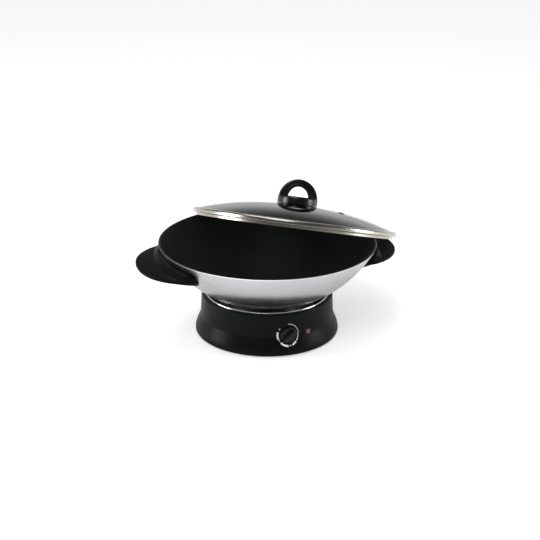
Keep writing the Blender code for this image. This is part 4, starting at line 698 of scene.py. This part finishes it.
# Bottom cover, feet and screws.
# A pressed zinc-coated plate with vent slots closes the shell from below.
# Four screws hold it, and four rubber feet plug into it.
def make_ring_tree():
    """Copies of a piece, evenly spaced on a circle and turned to face outwards."""
    inputs = {"Piece": "Geometry", "Count": "Int", "Radius": "Float", "Start": "Float", "Finish": "Material"}
    tree, given, result = open_tree("GeometryNodeTree", "ring of copies", inputs, {"Form": "Geometry"})
    number = add_node(tree, "GeometryNodeInputIndex").outputs[0]
    share = maths(tree, "DIVIDE", number, given.outputs["Count"])
    angle = maths(tree, "MULTIPLY_ADD", share, math.tau, given.outputs["Start"])
    out = add_node(tree, "ShaderNodeCombineXYZ", {0: given.outputs["Radius"]}).outputs[0]
    spot = add_node(tree, "ShaderNodeVectorRotate", {"Vector": out, "Angle": angle}, rotation_type="Z_AXIS")
    ring = {"Count": given.outputs["Count"], "Position": spot.outputs[0]}
    spin = add_node(tree, "ShaderNodeCombineXYZ", {2: angle}).outputs[0]
    points = add_node(tree, "GeometryNodePoints", ring).outputs[0]
    spread = {"Points": points, "Instance": given.outputs["Piece"], "Rotation": spin}
    return finished(tree, add_node(tree, "GeometryNodeInstanceOnPoints", spread).outputs[0], given, result)


ring_tree = make_ring_tree()


def ringed(piece, count, radius, start, finish):
    values = {"Count": count, "Radius": radius, "Start": start, "Finish": finish}
    return worked(piece, ring_tree, values)


def cross_cut(head, length, width, bottom, top, finish):
    """Sink the cross for a screwdriver into a screw's head."""
    for across, along in ((length, width), (width, length)):
        combined(head, block("cross", across, along, bottom, top, finish))


COVER_BOTTOM = 0.003
COVER_TOP = 0.005
COVER_RADIUS = FOOT_INSIDE - 0.0008
FOOT_CIRCLE = 0.098
SCREW_CIRCLE = 0.1045
SLOT_CIRCLE = 0.046
SLOT_LENGTH = 0.020
SLOT_WIDTH = 0.004
VENT_SLOTS = 8
PLUG_HOLE = 0.0031
SCREW_HOLE = 0.0017
CUT_TOP = 0.008
CROSS_LENGTH = 0.0036
CROSS_WIDTH = 0.0007
CROSS_TOP = 0.0020
BETWEEN = math.radians(45)
zinc = moulded(
    "zinc_sheet", (0.40, 0.41, 0.42), (0.56, 0.57, 0.58), 0.30, 0.46, 0.00001, 240.0, Metallic=1.0
)
cover_outline = [
    (0, 0.0012),
    (0.014, 0.0012, 0.001),
    (0.0158, COVER_BOTTOM, 0.001),
    (COVER_RADIUS, COVER_BOTTOM, 0.0006),
    (COVER_RADIUS, COVER_TOP, 0.0006),
    (0, COVER_TOP),
]
cover = turned("base_cover_plate", eased(cover_outline), 160, zinc)
slot_tool = block("slot", SLOT_LENGTH, SLOT_WIDTH, -0.001, CUT_TOP, zinc)
combined(cover, ringed(slot_tool, VENT_SLOTS, SLOT_CIRCLE, 0.0, zinc))
foot_hole = cylinder_tool("foot_hole", PLUG_HOLE, 0, CUT_TOP, zinc, sides=32)
combined(cover, ringed(foot_hole, 4, FOOT_CIRCLE, 0.0, zinc))
screw_hole = cylinder_tool("screw_hole", SCREW_HOLE, 0, CUT_TOP, zinc, sides=24)
combined(cover, ringed(screw_hole, 4, SCREW_CIRCLE, BETWEEN, zinc))
smoothed(cover)
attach(cover, "base")
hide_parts("bottom_cover")

rubber = moulded("foot_rubber", (0.012, 0.012, 0.012), (0.024, 0.024, 0.024), 0.62, 0.85, 0.00004, 900.0)
foot_outline = [
    (0, 0.0006),
    (0.0045, 0.0006, 0.0005),
    (0.0050, 0, 0.0004),
    (0.0072, 0, 0.0008),
    (0.0085, 0.0027, 0.0005),
    (0.0028, 0.0027),
    (0.0028, 0.0071, 0.0008),
    (0.0012, 0.0085, 0.0006),
    (0, 0.0085),
]
foot = turned("rubber_feet", eased(foot_outline), 48, rubber)
feet = smoothed(ringed(foot, 4, FOOT_CIRCLE, 0.0, rubber))
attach(feet, "base")
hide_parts("rubber_foot_1", "rubber_foot_2", "rubber_foot_3", "rubber_foot_4")

screw_outline = [
    (0, 0.0011),
    (0.0021, 0.0011, 0.0006),
    (0.0030, 0.0019, 0.0004),
    (0.0030, 0.0027),
    (0.0014, 0.0027),
    (0.0014, 0.0160, 0.0006),
    (0, 0.0167),
]
screw = turned("cover_screws", eased(screw_outline), 32, zinc)
cross_cut(screw, CROSS_LENGTH, CROSS_WIDTH, 0.0005, CROSS_TOP, zinc)
screws = smoothed(ringed(screw, 4, SCREW_CIRCLE, BETWEEN, zinc))
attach(screws, "base")
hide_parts("cover_screw_1", "cover_screw_2", "cover_screw_3", "cover_screw_4")


# Trim ring and reflector dish.
# A polished steel ring edges the base's mouth. Under it hangs a pressed steel dish
# that carries the heating parts; its steel is painted dark, a painted shade for the gap between pan and ring.
polished = turned_metal(
    "polished_steel", (0.80, 0.80, 0.81), (0.90, 0.90, 0.91), 0.07, 0.14, 0.000004, 1800.0
)
RING_OUTER = 0.1035
RING_INNER = 0.1009
RING_TOP = 0.0714
RING_BOTTOM = 0.0637
ring_round = (RING_OUTER - RING_INNER) / 2
ring_crown = arc(((RING_OUTER + RING_INNER) / 2, RING_TOP - ring_round), ring_round, 0, math.pi, 10)
ring_foot = [(RING_INNER, RING_BOTTOM), (RING_OUTER, RING_BOTTOM)]
ring = turned("mouth_ring", [*ring_foot, *ring_crown], 192, polished)
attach(ring, "base")
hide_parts("trim_ring")

DISH_SHEET = 0.0009
DISH_FLOOR = 0.0385
DISH_TOP = 0.0625
DISH_CUT = (0.030, 0.045)
ELEMENT_CIRCLE = 0.047
ELEMENT_HOLE = 0.006
GUIDE_RADIUS = 0.0116
# Painted shade: the dish's steel tones are dark so that the gap between the pan and the trim ring looks
# shaded.
pressed = turned_metal("pressed_steel", (0.16, 0.16, 0.16), (0.24, 0.24, 0.24), 0.34, 0.46, 0.00001, 500.0)
dish_bore = GUIDE_RADIUS + FIXED_GAP
dish_under = [
    (RING_OUTER, DISH_TOP),
    (0.0970, DISH_TOP, 0.0012),
    (0.0820, DISH_FLOOR, 0.0040),
    (dish_bore, DISH_FLOOR),
]
dish_over = [
    (dish_bore, DISH_FLOOR + DISH_SHEET),
    (0.0815, DISH_FLOOR + DISH_SHEET, 0.0034),
    (0.0961, DISH_TOP + DISH_SHEET, 0.0008),
    (RING_OUTER, DISH_TOP + DISH_SHEET),
]
dish = turned("heat_dish", eased(dish_under + dish_over, 6), 160, pressed)
for angle in (math.radians(111), math.radians(69)):
    place = Matrix.Translation((ELEMENT_CIRCLE * math.cos(angle), ELEMENT_CIRCLE * math.sin(angle), 0))
    combined(dish, cylinder_tool("element_hole", ELEMENT_HOLE, *DISH_CUT, pressed, place))
smoothed(dish)
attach(dish, "base")
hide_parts("reflector_dish")


# Heating plate and sensor.
# A cast plate, faced on top, sits on a tubular element and three spacers.
# The spring button in its middle feels the pan.
PLATE_TOP = 0.0555
PLATE_BOTTOM = 0.0470
PLATE_BORE = 0.0128
PLATE_RADIUS = 0.068
HEAD_BOTTOM = 0.0523
HEAD_RADIUS = 0.0092
cast = turned_metal("cast_plate", (0.42, 0.42, 0.43), (0.58, 0.58, 0.59), 0.30, 0.48, 0.00004, 450.0)
plate_outline = [
    (PLATE_BORE, PLATE_BOTTOM),
    (PLATE_RADIUS, PLATE_BOTTOM, 0.0010),
    (PLATE_RADIUS, PLATE_TOP, 0.0018),
    (PLATE_BORE, PLATE_TOP, 0.0006),
]
plate = turned("cast_heating_plate", eased(plate_outline), 128, cast)
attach(plate, "base")
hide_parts("heating_plate")

button_outline = [
    (0, 0.0398),
    (0.0028, 0.0398, 0.0006),
    (0.0028, HEAD_BOTTOM),
    (HEAD_RADIUS, HEAD_BOTTOM, 0.0004),
    (HEAD_RADIUS, PLATE_TOP, 0.0009),
    (0, PLATE_TOP),
]
button = turned("sensor_cap", eased(button_outline), 64, cast)
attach(button, "sensor")
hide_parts("sensor_button")

guide_outline = [
    (0.0036, 0.0250),
    (GUIDE_RADIUS, 0.0250, 0.0008),
    (GUIDE_RADIUS, 0.0397),
    (0.0165, 0.0397, 0.0003),
    (0.0165, 0.0409, 0.0003),
    (GUIDE_RADIUS, 0.0409),
    (GUIDE_RADIUS, 0.0539, 0.0004),
    (0.0100, 0.0539, 0.0004),
    (0.0100, 0.0266),
    (0.0036, 0.0266),
]
guide = turned("sensor_cup", eased(guide_outline), 64, strap_steel)
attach(guide, "base")
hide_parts("sensor_guide")


# Sensor spring.
# A coil of steel wire stands in the guide under the button's head.
# It stays a hair clear of the head.
spring_steel = moulded(
    "spring_steel", (0.50, 0.50, 0.51), (0.66, 0.66, 0.67), 0.20, 0.32, 0.000005, 900.0, Metallic=1.0
)
SPRING_FOOT = 0.0268
SPRING_HEAD = 0.0522
SPRING_RADIUS = 0.0060
SPRING_WIRE = 0.0006
SPRING_TURNS = 6
TURN_STEPS = 40
WIRE_SIDES = 12
spring_length = SPRING_HEAD - SPRING_FOOT
rings = []
for step in range(SPRING_TURNS * TURN_STEPS + 1):
    angle = math.tau * step / TURN_STEPS
    climb = (spring_length - 2 * SPRING_WIRE) * step / (SPRING_TURNS * TURN_STEPS)
    ring = []
    for side in reversed(range(WIRE_SIDES)):
        across = math.tau * side / WIRE_SIDES
        reach = SPRING_RADIUS + SPRING_WIRE * math.cos(across)
        height = SPRING_FOOT + SPRING_WIRE + climb + SPRING_WIRE * math.sin(across)
        ring.append((reach * math.cos(angle), reach * math.sin(angle), height))
    rings.append(ring)
spring = smoothed(lofted("sensor_coil", spring_steel, rings), 40)
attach(spring, "base")
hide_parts("sensor_spring")
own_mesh(spring)


# Inner parts that keep their own shapes.
# The element, its tabs, the spacers, the thermostat with its shaft, the fuse, the block, the lamp's
# holder and bulb, and the leads are hidden in the base and get their own finishes.
element_sheath = moulded(
    "element_sheath", (0.16, 0.15, 0.14), (0.30, 0.28, 0.26), 0.38, 0.55, 0.00002, 700.0, Metallic=1.0
)
phenolic = moulded(
    "brown_phenolic", (0.050, 0.024, 0.014), (0.085, 0.042, 0.024), 0.38, 0.55, 0.00003, 1000.0
)
porcelain = moulded("white_block", (0.70, 0.69, 0.65), (0.80, 0.79, 0.75), 0.36, 0.50, 0.00002, 800.0)
sleeves = {}
for name, dark, light in (
    ("brown_sleeve", (0.085, 0.035, 0.016), (0.120, 0.050, 0.022)),
    ("white_sleeve", (0.66, 0.66, 0.63), (0.76, 0.76, 0.73)),
    ("blue_sleeve", (0.030, 0.080, 0.280), (0.045, 0.110, 0.360)),
):
    sleeves[name] = moulded(name, dark, light, 0.42, 0.58, 0.00002, 1200.0)
neon = moulded(
    "lamp_bulb_glass", (0.80, 0.42, 0.25), (0.90, 0.50, 0.30), 0.05, 0.12, 0.000002, 500.0,
    Transmission_Weight=0.8,
)
inner_finishes = {
    "heating_element": element_sheath,
    "element_terminal_1": zinc,
    "element_terminal_2": zinc,
    "plate_spacer_1": zinc,
    "plate_spacer_2": zinc,
    "plate_spacer_3": zinc,
    "thermostat": phenolic,
    "thermostat_shaft": strap_steel,
    "thermal_fuse": spring_steel,
    "terminal_block": porcelain,
    "lamp_holder": housing_black,
    "lamp_bulb": neon,
    "wire_supply": sleeves["brown_sleeve"],
    "wire_heat": sleeves["white_sleeve"],
    "wire_return": sleeves["blue_sleeve"],
}
for name, finish in inner_finishes.items():
    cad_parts[name].material_slots[0].material = finish


# Cord gland.
# A moulded rubber bush in the rear wall, with a flange on each side and an open bore.
gland_outline = [
    (0.0036, -0.0060),
    (0.0080, -0.0060, 0.0004),
    (0.0080, -0.0036, 0.0004),
    (0.0055, -0.0036),
    (0.0055, 0.0006),
    (0.0080, 0.0006, 0.0004),
    (0.0080, 0.0019, 0.0008),
    (0.0056, 0.0029, 0.0010),
    (0.0047, 0.0051, 0.0005),
    (0.0036, 0.0051, 0.0005),
]
gland = turned("rear_gland", eased(gland_outline), 64, rubber)
gland.data.transform(gland_place)
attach(gland, "base")
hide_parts("cord_gland")


# Dial.
# A black knob in its seat, with a lens-shaped grip bar across its face.
# Its scale is printed in white on the wall round it.
DIAL_BACK = 0.0008
DIAL_FACE = 0.0053
DIAL_FRONT = 0.0128
dial_black = moulded(
    "dial_plastic", (0.0030, 0.0034, 0.0036), (0.0055, 0.0060, 0.0062), 0.28, 0.40, 0.00002, 1300.0,
    Specular_IOR_Level=0.25,
)
dial_outline = [
    (0, DIAL_BACK),
    (DIAL_RADIUS, DIAL_BACK, 0.0003),
    (DIAL_RADIUS, DIAL_FACE, 0.0014),
    (0, DIAL_FACE),
]
dial = turned("dial", eased(dial_outline, 6), 128, dial_black)
GRIP_TURN = math.radians(-45)
GRIP_HALF = 0.0121
GRIP_WIDTH = 0.0041
GRIP_BULGE = 0.72
GRIP_STEPS = 24
GRIP_LEVELS = [
    (DIAL_FACE - 0.001, 1.0),
    (DIAL_FRONT - 0.0012, 0.97),
    (DIAL_FRONT - 0.0004, 0.90),
    (DIAL_FRONT, 0.72),
]
grip_edge = []
for sign in (1, -1):
    for i in range(GRIP_STEPS):
        share = 2 * i / GRIP_STEPS - 1
        grip_edge.append((-sign * share * GRIP_HALF, sign * GRIP_WIDTH * (1 - share**2 * GRIP_BULGE)))
grip_rings = [
    [(x * (0.5 + shrink / 2), y * shrink, height) for x, y in grip_edge] for height, shrink in GRIP_LEVELS
]
grip = smoothed(lofted("grip", dial_black, grip_rings), 30)
combined(dial, grip, "UNION")
dial.data.transform(dial_place @ Matrix.Rotation(GRIP_TURN, 4, "Z"))
smoothed(dial, 30)
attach(dial, "dial")
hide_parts("dial_knob")

SCALE_ARCS = [
    (0, 84, 0.01745, 0.01815),
    (87, 99, 0.01715, 0.01815),
    (103, 112, 0.01700, 0.01820),
    (116, 127, 0.01680, 0.01830),
    (133, 160, 0.01600, 0.01870),
    (168, 175, 0.01640, 0.01790),
    (182, 228, 0.01590, 0.01880),
    (236, 242, 0.01640, 0.01790),
    (247, 288, 0.01580, 0.01890),
    (303, 310, 0.01640, 0.01790),
]
PRINT_LIFT = 0.00006
PRINT_THICKNESS = 0.00005


def scale_point(angle, radius, lift):
    x = radius * math.sin(math.radians(angle))
    z = DIAL_HEIGHT + radius * math.cos(math.radians(angle))
    reach = flare_radius(z) + lift
    return (x, -math.sqrt(reach**2 - x**2), z)


def scale_mark(start, end, inner, outer):
    """Rings of points along one printed arc, which lies on the wall like a thin film."""
    steps = max(int((end - start) / 2.5), 3)
    radii = [inner + (outer - inner) * k / 4 for k in range(5)]
    rings = []
    for i in range(steps + 1):
        angle = start + (end - start) * i / steps
        under = [scale_point(angle, radius, PRINT_LIFT) for radius in radii]
        over = [scale_point(angle, radius, PRINT_LIFT + PRINT_THICKNESS) for radius in radii]
        rings.append(under + over[::-1])
    return rings


scale_ink = moulded("white_ink", (0.70, 0.71, 0.71), (0.84, 0.85, 0.85), 0.40, 0.60, 0.000004, 2500.0)
scale = smoothed(lofted("dial_scale", scale_ink, *[scale_mark(*limits) for limits in SCALE_ARCS]), 30)
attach(scale, "base")


# Lamp.
# A square red lens stands a millimetre proud of its window, with a painted highlight: a lighter spot painted
# into its red near the middle of its face.
LENS_BACK = -0.0050
LENS_FRONT = 0.0010
LENS_EDGE = 0.0006
PAINTED_HIGHLIGHT_START = 0.0008
PAINTED_HIGHLIGHT_END = 0.0040
lens_red = plain_finish("lamp_red", (0.20, 0.012, 0.010), 0.12, 0.0, Coat_Weight=0.6, Coat_Roughness=0.06)
lens_tree = lens_red.node_tree
# Painted highlight: the red fades from a light tone at this spot to a dark tone further out.
painted_highlight_spot = lamp_place @ Vector((0.0004, 0.0, 0.001))
lens_way = {0: object_place(lens_tree), 1: painted_highlight_spot}
lens_far = add_node(lens_tree, "ShaderNodeVectorMath", lens_way, operation="DISTANCE").outputs["Value"]
lens_levels = {0: lens_far, 1: PAINTED_HIGHLIGHT_START, 2: PAINTED_HIGHLIGHT_END, 3: 1.0, 4: 0.0}
painted_highlight_fall = add_node(lens_tree, "ShaderNodeMapRange", lens_levels, interpolation_type="SMOOTHSTEP")
two_tones(lens_tree, (0.060, 0.004, 0.004), (0.30, 0.035, 0.032), painted_highlight_fall.outputs[0])
lens = block("signal_lens", LAMP_SIDE, LAMP_SIDE, LENS_BACK, LENS_FRONT, lens_red, lamp_place, LENS_EDGE)
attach(lens, "base")
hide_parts("lamp_lens")


# Lid.
# A shallow dome of grey glass held in a rolled steel band with a skirt,
# lying ajar on the pan with its far side lowered and the bowl's rim under the glass.
LID_CENTRE = Vector((0.081812, 0.101029, 0.144807))
LID_TILT = math.radians(19.2544)
LID_DIRECTION = math.radians(51)
LID_TURN = math.radians(-18)
lid_axis = Vector((0, 0, 1)).cross(Vector((math.cos(LID_DIRECTION), math.sin(LID_DIRECTION), 0)))
lid_turned = Matrix.Rotation(LID_TILT, 4, lid_axis) @ Matrix.Rotation(LID_TURN, 4, "Z")
lid_place = Matrix.Translation(LID_CENTRE) @ lid_turned
LID_RADIUS = 0.1785
GLASS_EDGE = 0.0056
GLASS_THICK = 0.004
GLASS_HOLE = 0.0045
GLASS_STEPS = 48
DOME_HEIGHT = 0.029
DOME_SHAPE = 2.26
BAND_METAL = 0.0010
VENT_DISTANCE = 0.088
VENT_ANGLE = math.radians(-31)
VENT_HOLE = 0.0042
GLASS_CUT = (-0.01, 0.06)


def glass_top(radius):
    return GLASS_EDGE + DOME_HEIGHT * (1 - (radius / LID_RADIUS) ** DOME_SHAPE)


def place_on_lid(piece, slot, *nodes):
    piece.data.transform(lid_place)
    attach(piece, "lid")
    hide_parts(*nodes)


lid_glass = plain_finish("grey_glass", (0.10, 0.112, 0.112), 0.0, 0.0, Transmission_Weight=1.0, IOR=1.22)
glass_tree = lid_glass.node_tree
add_surface(lid_glass, moulded_grain, 0.000001, lid_place, Scale=60.0, Smooth=0.0, Rough=0.02)
glass_path = add_node(glass_tree, "ShaderNodeLightPath").outputs
shade_rays = maths(glass_tree, "MAXIMUM", glass_path["Is Shadow Ray"], glass_path["Is Diffuse Ray"])
shade_pass = add_node(glass_tree, "ShaderNodeBsdfTransparent", {0: (0.40, 0.42, 0.42, 1)}).outputs[0]
shade_sides = {0: shade_rays, 1: glass_tree.nodes["Principled BSDF"].outputs[0], 2: shade_pass}
shade_mix = add_node(glass_tree, "ShaderNodeMixShader", shade_sides).outputs[0]
glass_tree.links.new(shade_mix, glass_tree.nodes["Material Output"].inputs["Surface"])

glass_edge = LID_RADIUS - BAND_METAL - FIXED_GAP
stations = [GLASS_HOLE + (glass_edge - GLASS_HOLE) * (i / GLASS_STEPS) for i in range(GLASS_STEPS + 1)]
glass_over = [(radius, glass_top(radius)) for radius in stations]
glass_under = [(radius, height - GLASS_THICK) for radius, height in glass_over]
glass = turned("dome_glass", glass_over[::-1] + glass_under, 192, lid_glass)
vent_turn = Matrix.Rotation(VENT_ANGLE, 4, "Z")
vent_place = vent_turn @ Matrix.Translation((VENT_DISTANCE, 0, 0))
combined(glass, cylinder_tool("vent_hole", VENT_HOLE, *GLASS_CUT, lid_glass, vent_place))
smoothed(glass)
place_on_lid(glass, "lid_glass_grey", "lid_glass")

rolled = turned_metal(
    "rolled_band", (0.40, 0.38, 0.33), (0.54, 0.52, 0.46), 0.16, 0.26, 0.000008, 1500.0, lid_place
)
BAND_HEIGHT = 0.0074
SKIRT_RADIUS = 0.1725
SKIRT_DEPTH = 0.0045
FOLD_END = LID_RADIUS - 0.005
band_outline = [
    (SKIRT_RADIUS - BAND_METAL, -SKIRT_DEPTH, 0.0004),
    (SKIRT_RADIUS, -SKIRT_DEPTH, 0.0004),
    (SKIRT_RADIUS, 0, 0.0008),
    (LID_RADIUS, 0, 0.0020),
    (LID_RADIUS, BAND_HEIGHT, 0.0036),
    (FOLD_END, glass_top(FOLD_END) + FIXED_GAP + BAND_METAL, 0.0006),
    (FOLD_END, glass_top(FOLD_END) + FIXED_GAP, 0.0003),
    (glass_edge + FIXED_GAP, glass_top(glass_edge) + FIXED_GAP),
    (glass_edge + FIXED_GAP, BAND_METAL),
    (SKIRT_RADIUS - BAND_METAL, BAND_METAL),
]
band = turned("rolled_rim_band", eased(band_outline, 6), 224, rolled)
place_on_lid(band, "rim_steel", "lid_rim")

vent_share = VENT_DISTANCE / LID_RADIUS
vent_slope = math.atan(DOME_HEIGHT * DOME_SHAPE / LID_RADIUS * vent_share ** (DOME_SHAPE - 1))
vent_outline = [
    (0.0012, -0.0050, 0.0003),
    (0.0035, -0.0050, 0.0003),
    (0.0035, 0.0003),
    (0.0064, 0.0003, 0.0003),
    (0.0062, 0.0010, 0.0006),
    (0.0042, 0.0015, 0.0006),
    (0.0012, 0.0010, 0.0003),
]
vent = turned("steam_eyelet", eased(vent_outline), 64, rolled)
vent_seat = vent_turn @ Matrix.Translation((VENT_DISTANCE, 0, glass_top(VENT_DISTANCE)))
vent.data.transform(vent_seat @ Matrix.Rotation(vent_slope, 4, "Y"))
place_on_lid(vent, "rim_steel", "steam_vent")


# Lid handle.
# A black moulded arch with three ribs rises from a round foot.
# A screw from below clamps it on a thin seat and a soft washer.
FOOT_BOTTOM = 0.036793
FOOT_RADIUS = 0.0352
FOOT_HEIGHT = 0.0110
FOOT_ROUND = 0.0040
SEAT_RADIUS = 0.0317
ARCH_HALF = 0.0342
ARCH_HEIGHT = 0.0415
ARCH_THICK = 0.0130
ARCH_SWELL = 0.0030
ARCH_DEPTH = 0.023
ARCH_GROOVE = 0.0014
ARCH_GROOVE_HALF = 0.0013
ARCH_SINK = 0.0015
ARCH_STEPS = 64
BOLT_HOLE = 0.0027
WASHER_RADIUS = 0.0115
SEAT_THICK = 0.0016
BOLT_SLOT_LENGTH = 0.0050
BOLT_SLOT_WIDTH = 0.0009
BOLT_SLOT_TOP = 0.0014
grip_black = moulded(
    "arch_plastic", (0.0035, 0.0040, 0.0042), (0.0060, 0.0066, 0.0068), 0.18, 0.26, 0.000012, 1300.0,
    lid_place,
    Specular_IOR_Level=0.45,
)
foot_top = FOOT_BOTTOM + FOOT_HEIGHT
foot_lip = glass_top(SEAT_RADIUS) + FIXED_GAP
foot_outline = [
    (0, FOOT_BOTTOM),
    (SEAT_RADIUS + FIXED_GAP, FOOT_BOTTOM, 0.0003),
    (SEAT_RADIUS + FIXED_GAP, foot_lip, 0.0003),
    (FOOT_RADIUS, foot_lip, 0.0006),
    (FOOT_RADIUS, foot_top, FOOT_ROUND),
    (0, foot_top),
]
arch_foot = turned("arch_handle", eased(foot_outline, 8), 160, grip_black)


def arch_ring(angle):
    """The arch's rounded section at an angle, with grooves between its ribs on three sides."""
    base = foot_top - FOOT_ROUND - ARCH_SINK
    rise = ARCH_HEIGHT + FOOT_BOTTOM - base
    thick = ARCH_THICK + ARCH_SWELL * math.cos(angle) ** 2
    half = ARCH_DEPTH / 2
    cut = ARCH_GROOVE_HALF
    side = [
        (half, cut - thick / 2, 0.0011),
        (half - ARCH_GROOVE, -thick / 2, 0.0004),
        (half, -cut - thick / 2, 0.0011),
        (half, -thick, 0.0032),
    ]
    section = [(-across, inward, radius) for across, inward, radius in side[::-1]]
    section.append((-half, 0, 0.0036))
    for valley in (-half / 3, half / 3):
        section += [(valley - cut, 0, 0.0009), (valley, -ARCH_GROOVE, 0.0004), (valley + cut, 0, 0.0009)]
    section += [(half, 0, 0.0036), *side]
    ring = []
    for across, inward in eased(section, 5):
        height = base + (rise + inward) * math.sin(angle)
        ring.append(((ARCH_HALF + inward) * math.cos(angle), across, height))
    return ring


arch_rings = [arch_ring(math.pi * i / ARCH_STEPS) for i in range(ARCH_STEPS + 1)]
arch = smoothed(lofted("arch", grip_black, arch_rings), 40)
combined(arch_foot, arch, "UNION")
smoothed(arch_foot, 38)
place_on_lid(arch_foot, "lid_handle_black", "lid_handle")

seat_top = FOOT_BOTTOM - FIXED_GAP
seat_edge = SEAT_RADIUS - FIXED_GAP
seat_outline = [
    (BOLT_HOLE, seat_top - SEAT_THICK),
    (seat_edge, seat_top - SEAT_THICK, 0.0005),
    (seat_edge, seat_top),
    (BOLT_HOLE, seat_top),
]
seat_ring = turned("arch_seat", eased(seat_outline), 128, grip_black)
place_on_lid(seat_ring, "lid_handle_black", "lid_handle_seat")
washer_top = glass_top(WASHER_RADIUS) - GLASS_THICK - FIXED_GAP
washer_outline = [
    (BOLT_HOLE, washer_top - SEAT_THICK),
    (WASHER_RADIUS, washer_top - SEAT_THICK, 0.0005),
    (WASHER_RADIUS, washer_top, 0.0004),
    (BOLT_HOLE, washer_top),
]
silicone = moulded(
    "silicone", (0.018, 0.018, 0.018), (0.030, 0.030, 0.030), 0.5, 0.7, 0.00002, 900.0, lid_place
)
place_on_lid(turned("soft_washer", eased(washer_outline), 64, silicone), "silicone", "lid_washer")
head_top = washer_top - SEAT_THICK - FIXED_GAP
lid_screw_outline = [
    (0, head_top - 0.0026),
    (0.0026, head_top - 0.0026, 0.0008),
    (0.0045, head_top - 0.0013, 0.0006),
    (0.0045, head_top),
    (0.0024, head_top),
    (0.0024, 0.0432, 0.0006),
    (0, 0.0434),
]
lid_screw = turned("lid_fixing_screw", eased(lid_screw_outline), 48, rolled)
cross_cut(lid_screw, BOLT_SLOT_LENGTH, BOLT_SLOT_WIDTH, head_top - 0.0040, head_top - BOLT_SLOT_TOP, rolled)
smoothed(lid_screw)
place_on_lid(lid_screw, "rim_steel", "lid_screw")


# View.
# The scene shows its colours through the Standard view transform.
bpy.context.scene.view_settings.view_transform = "Standard"
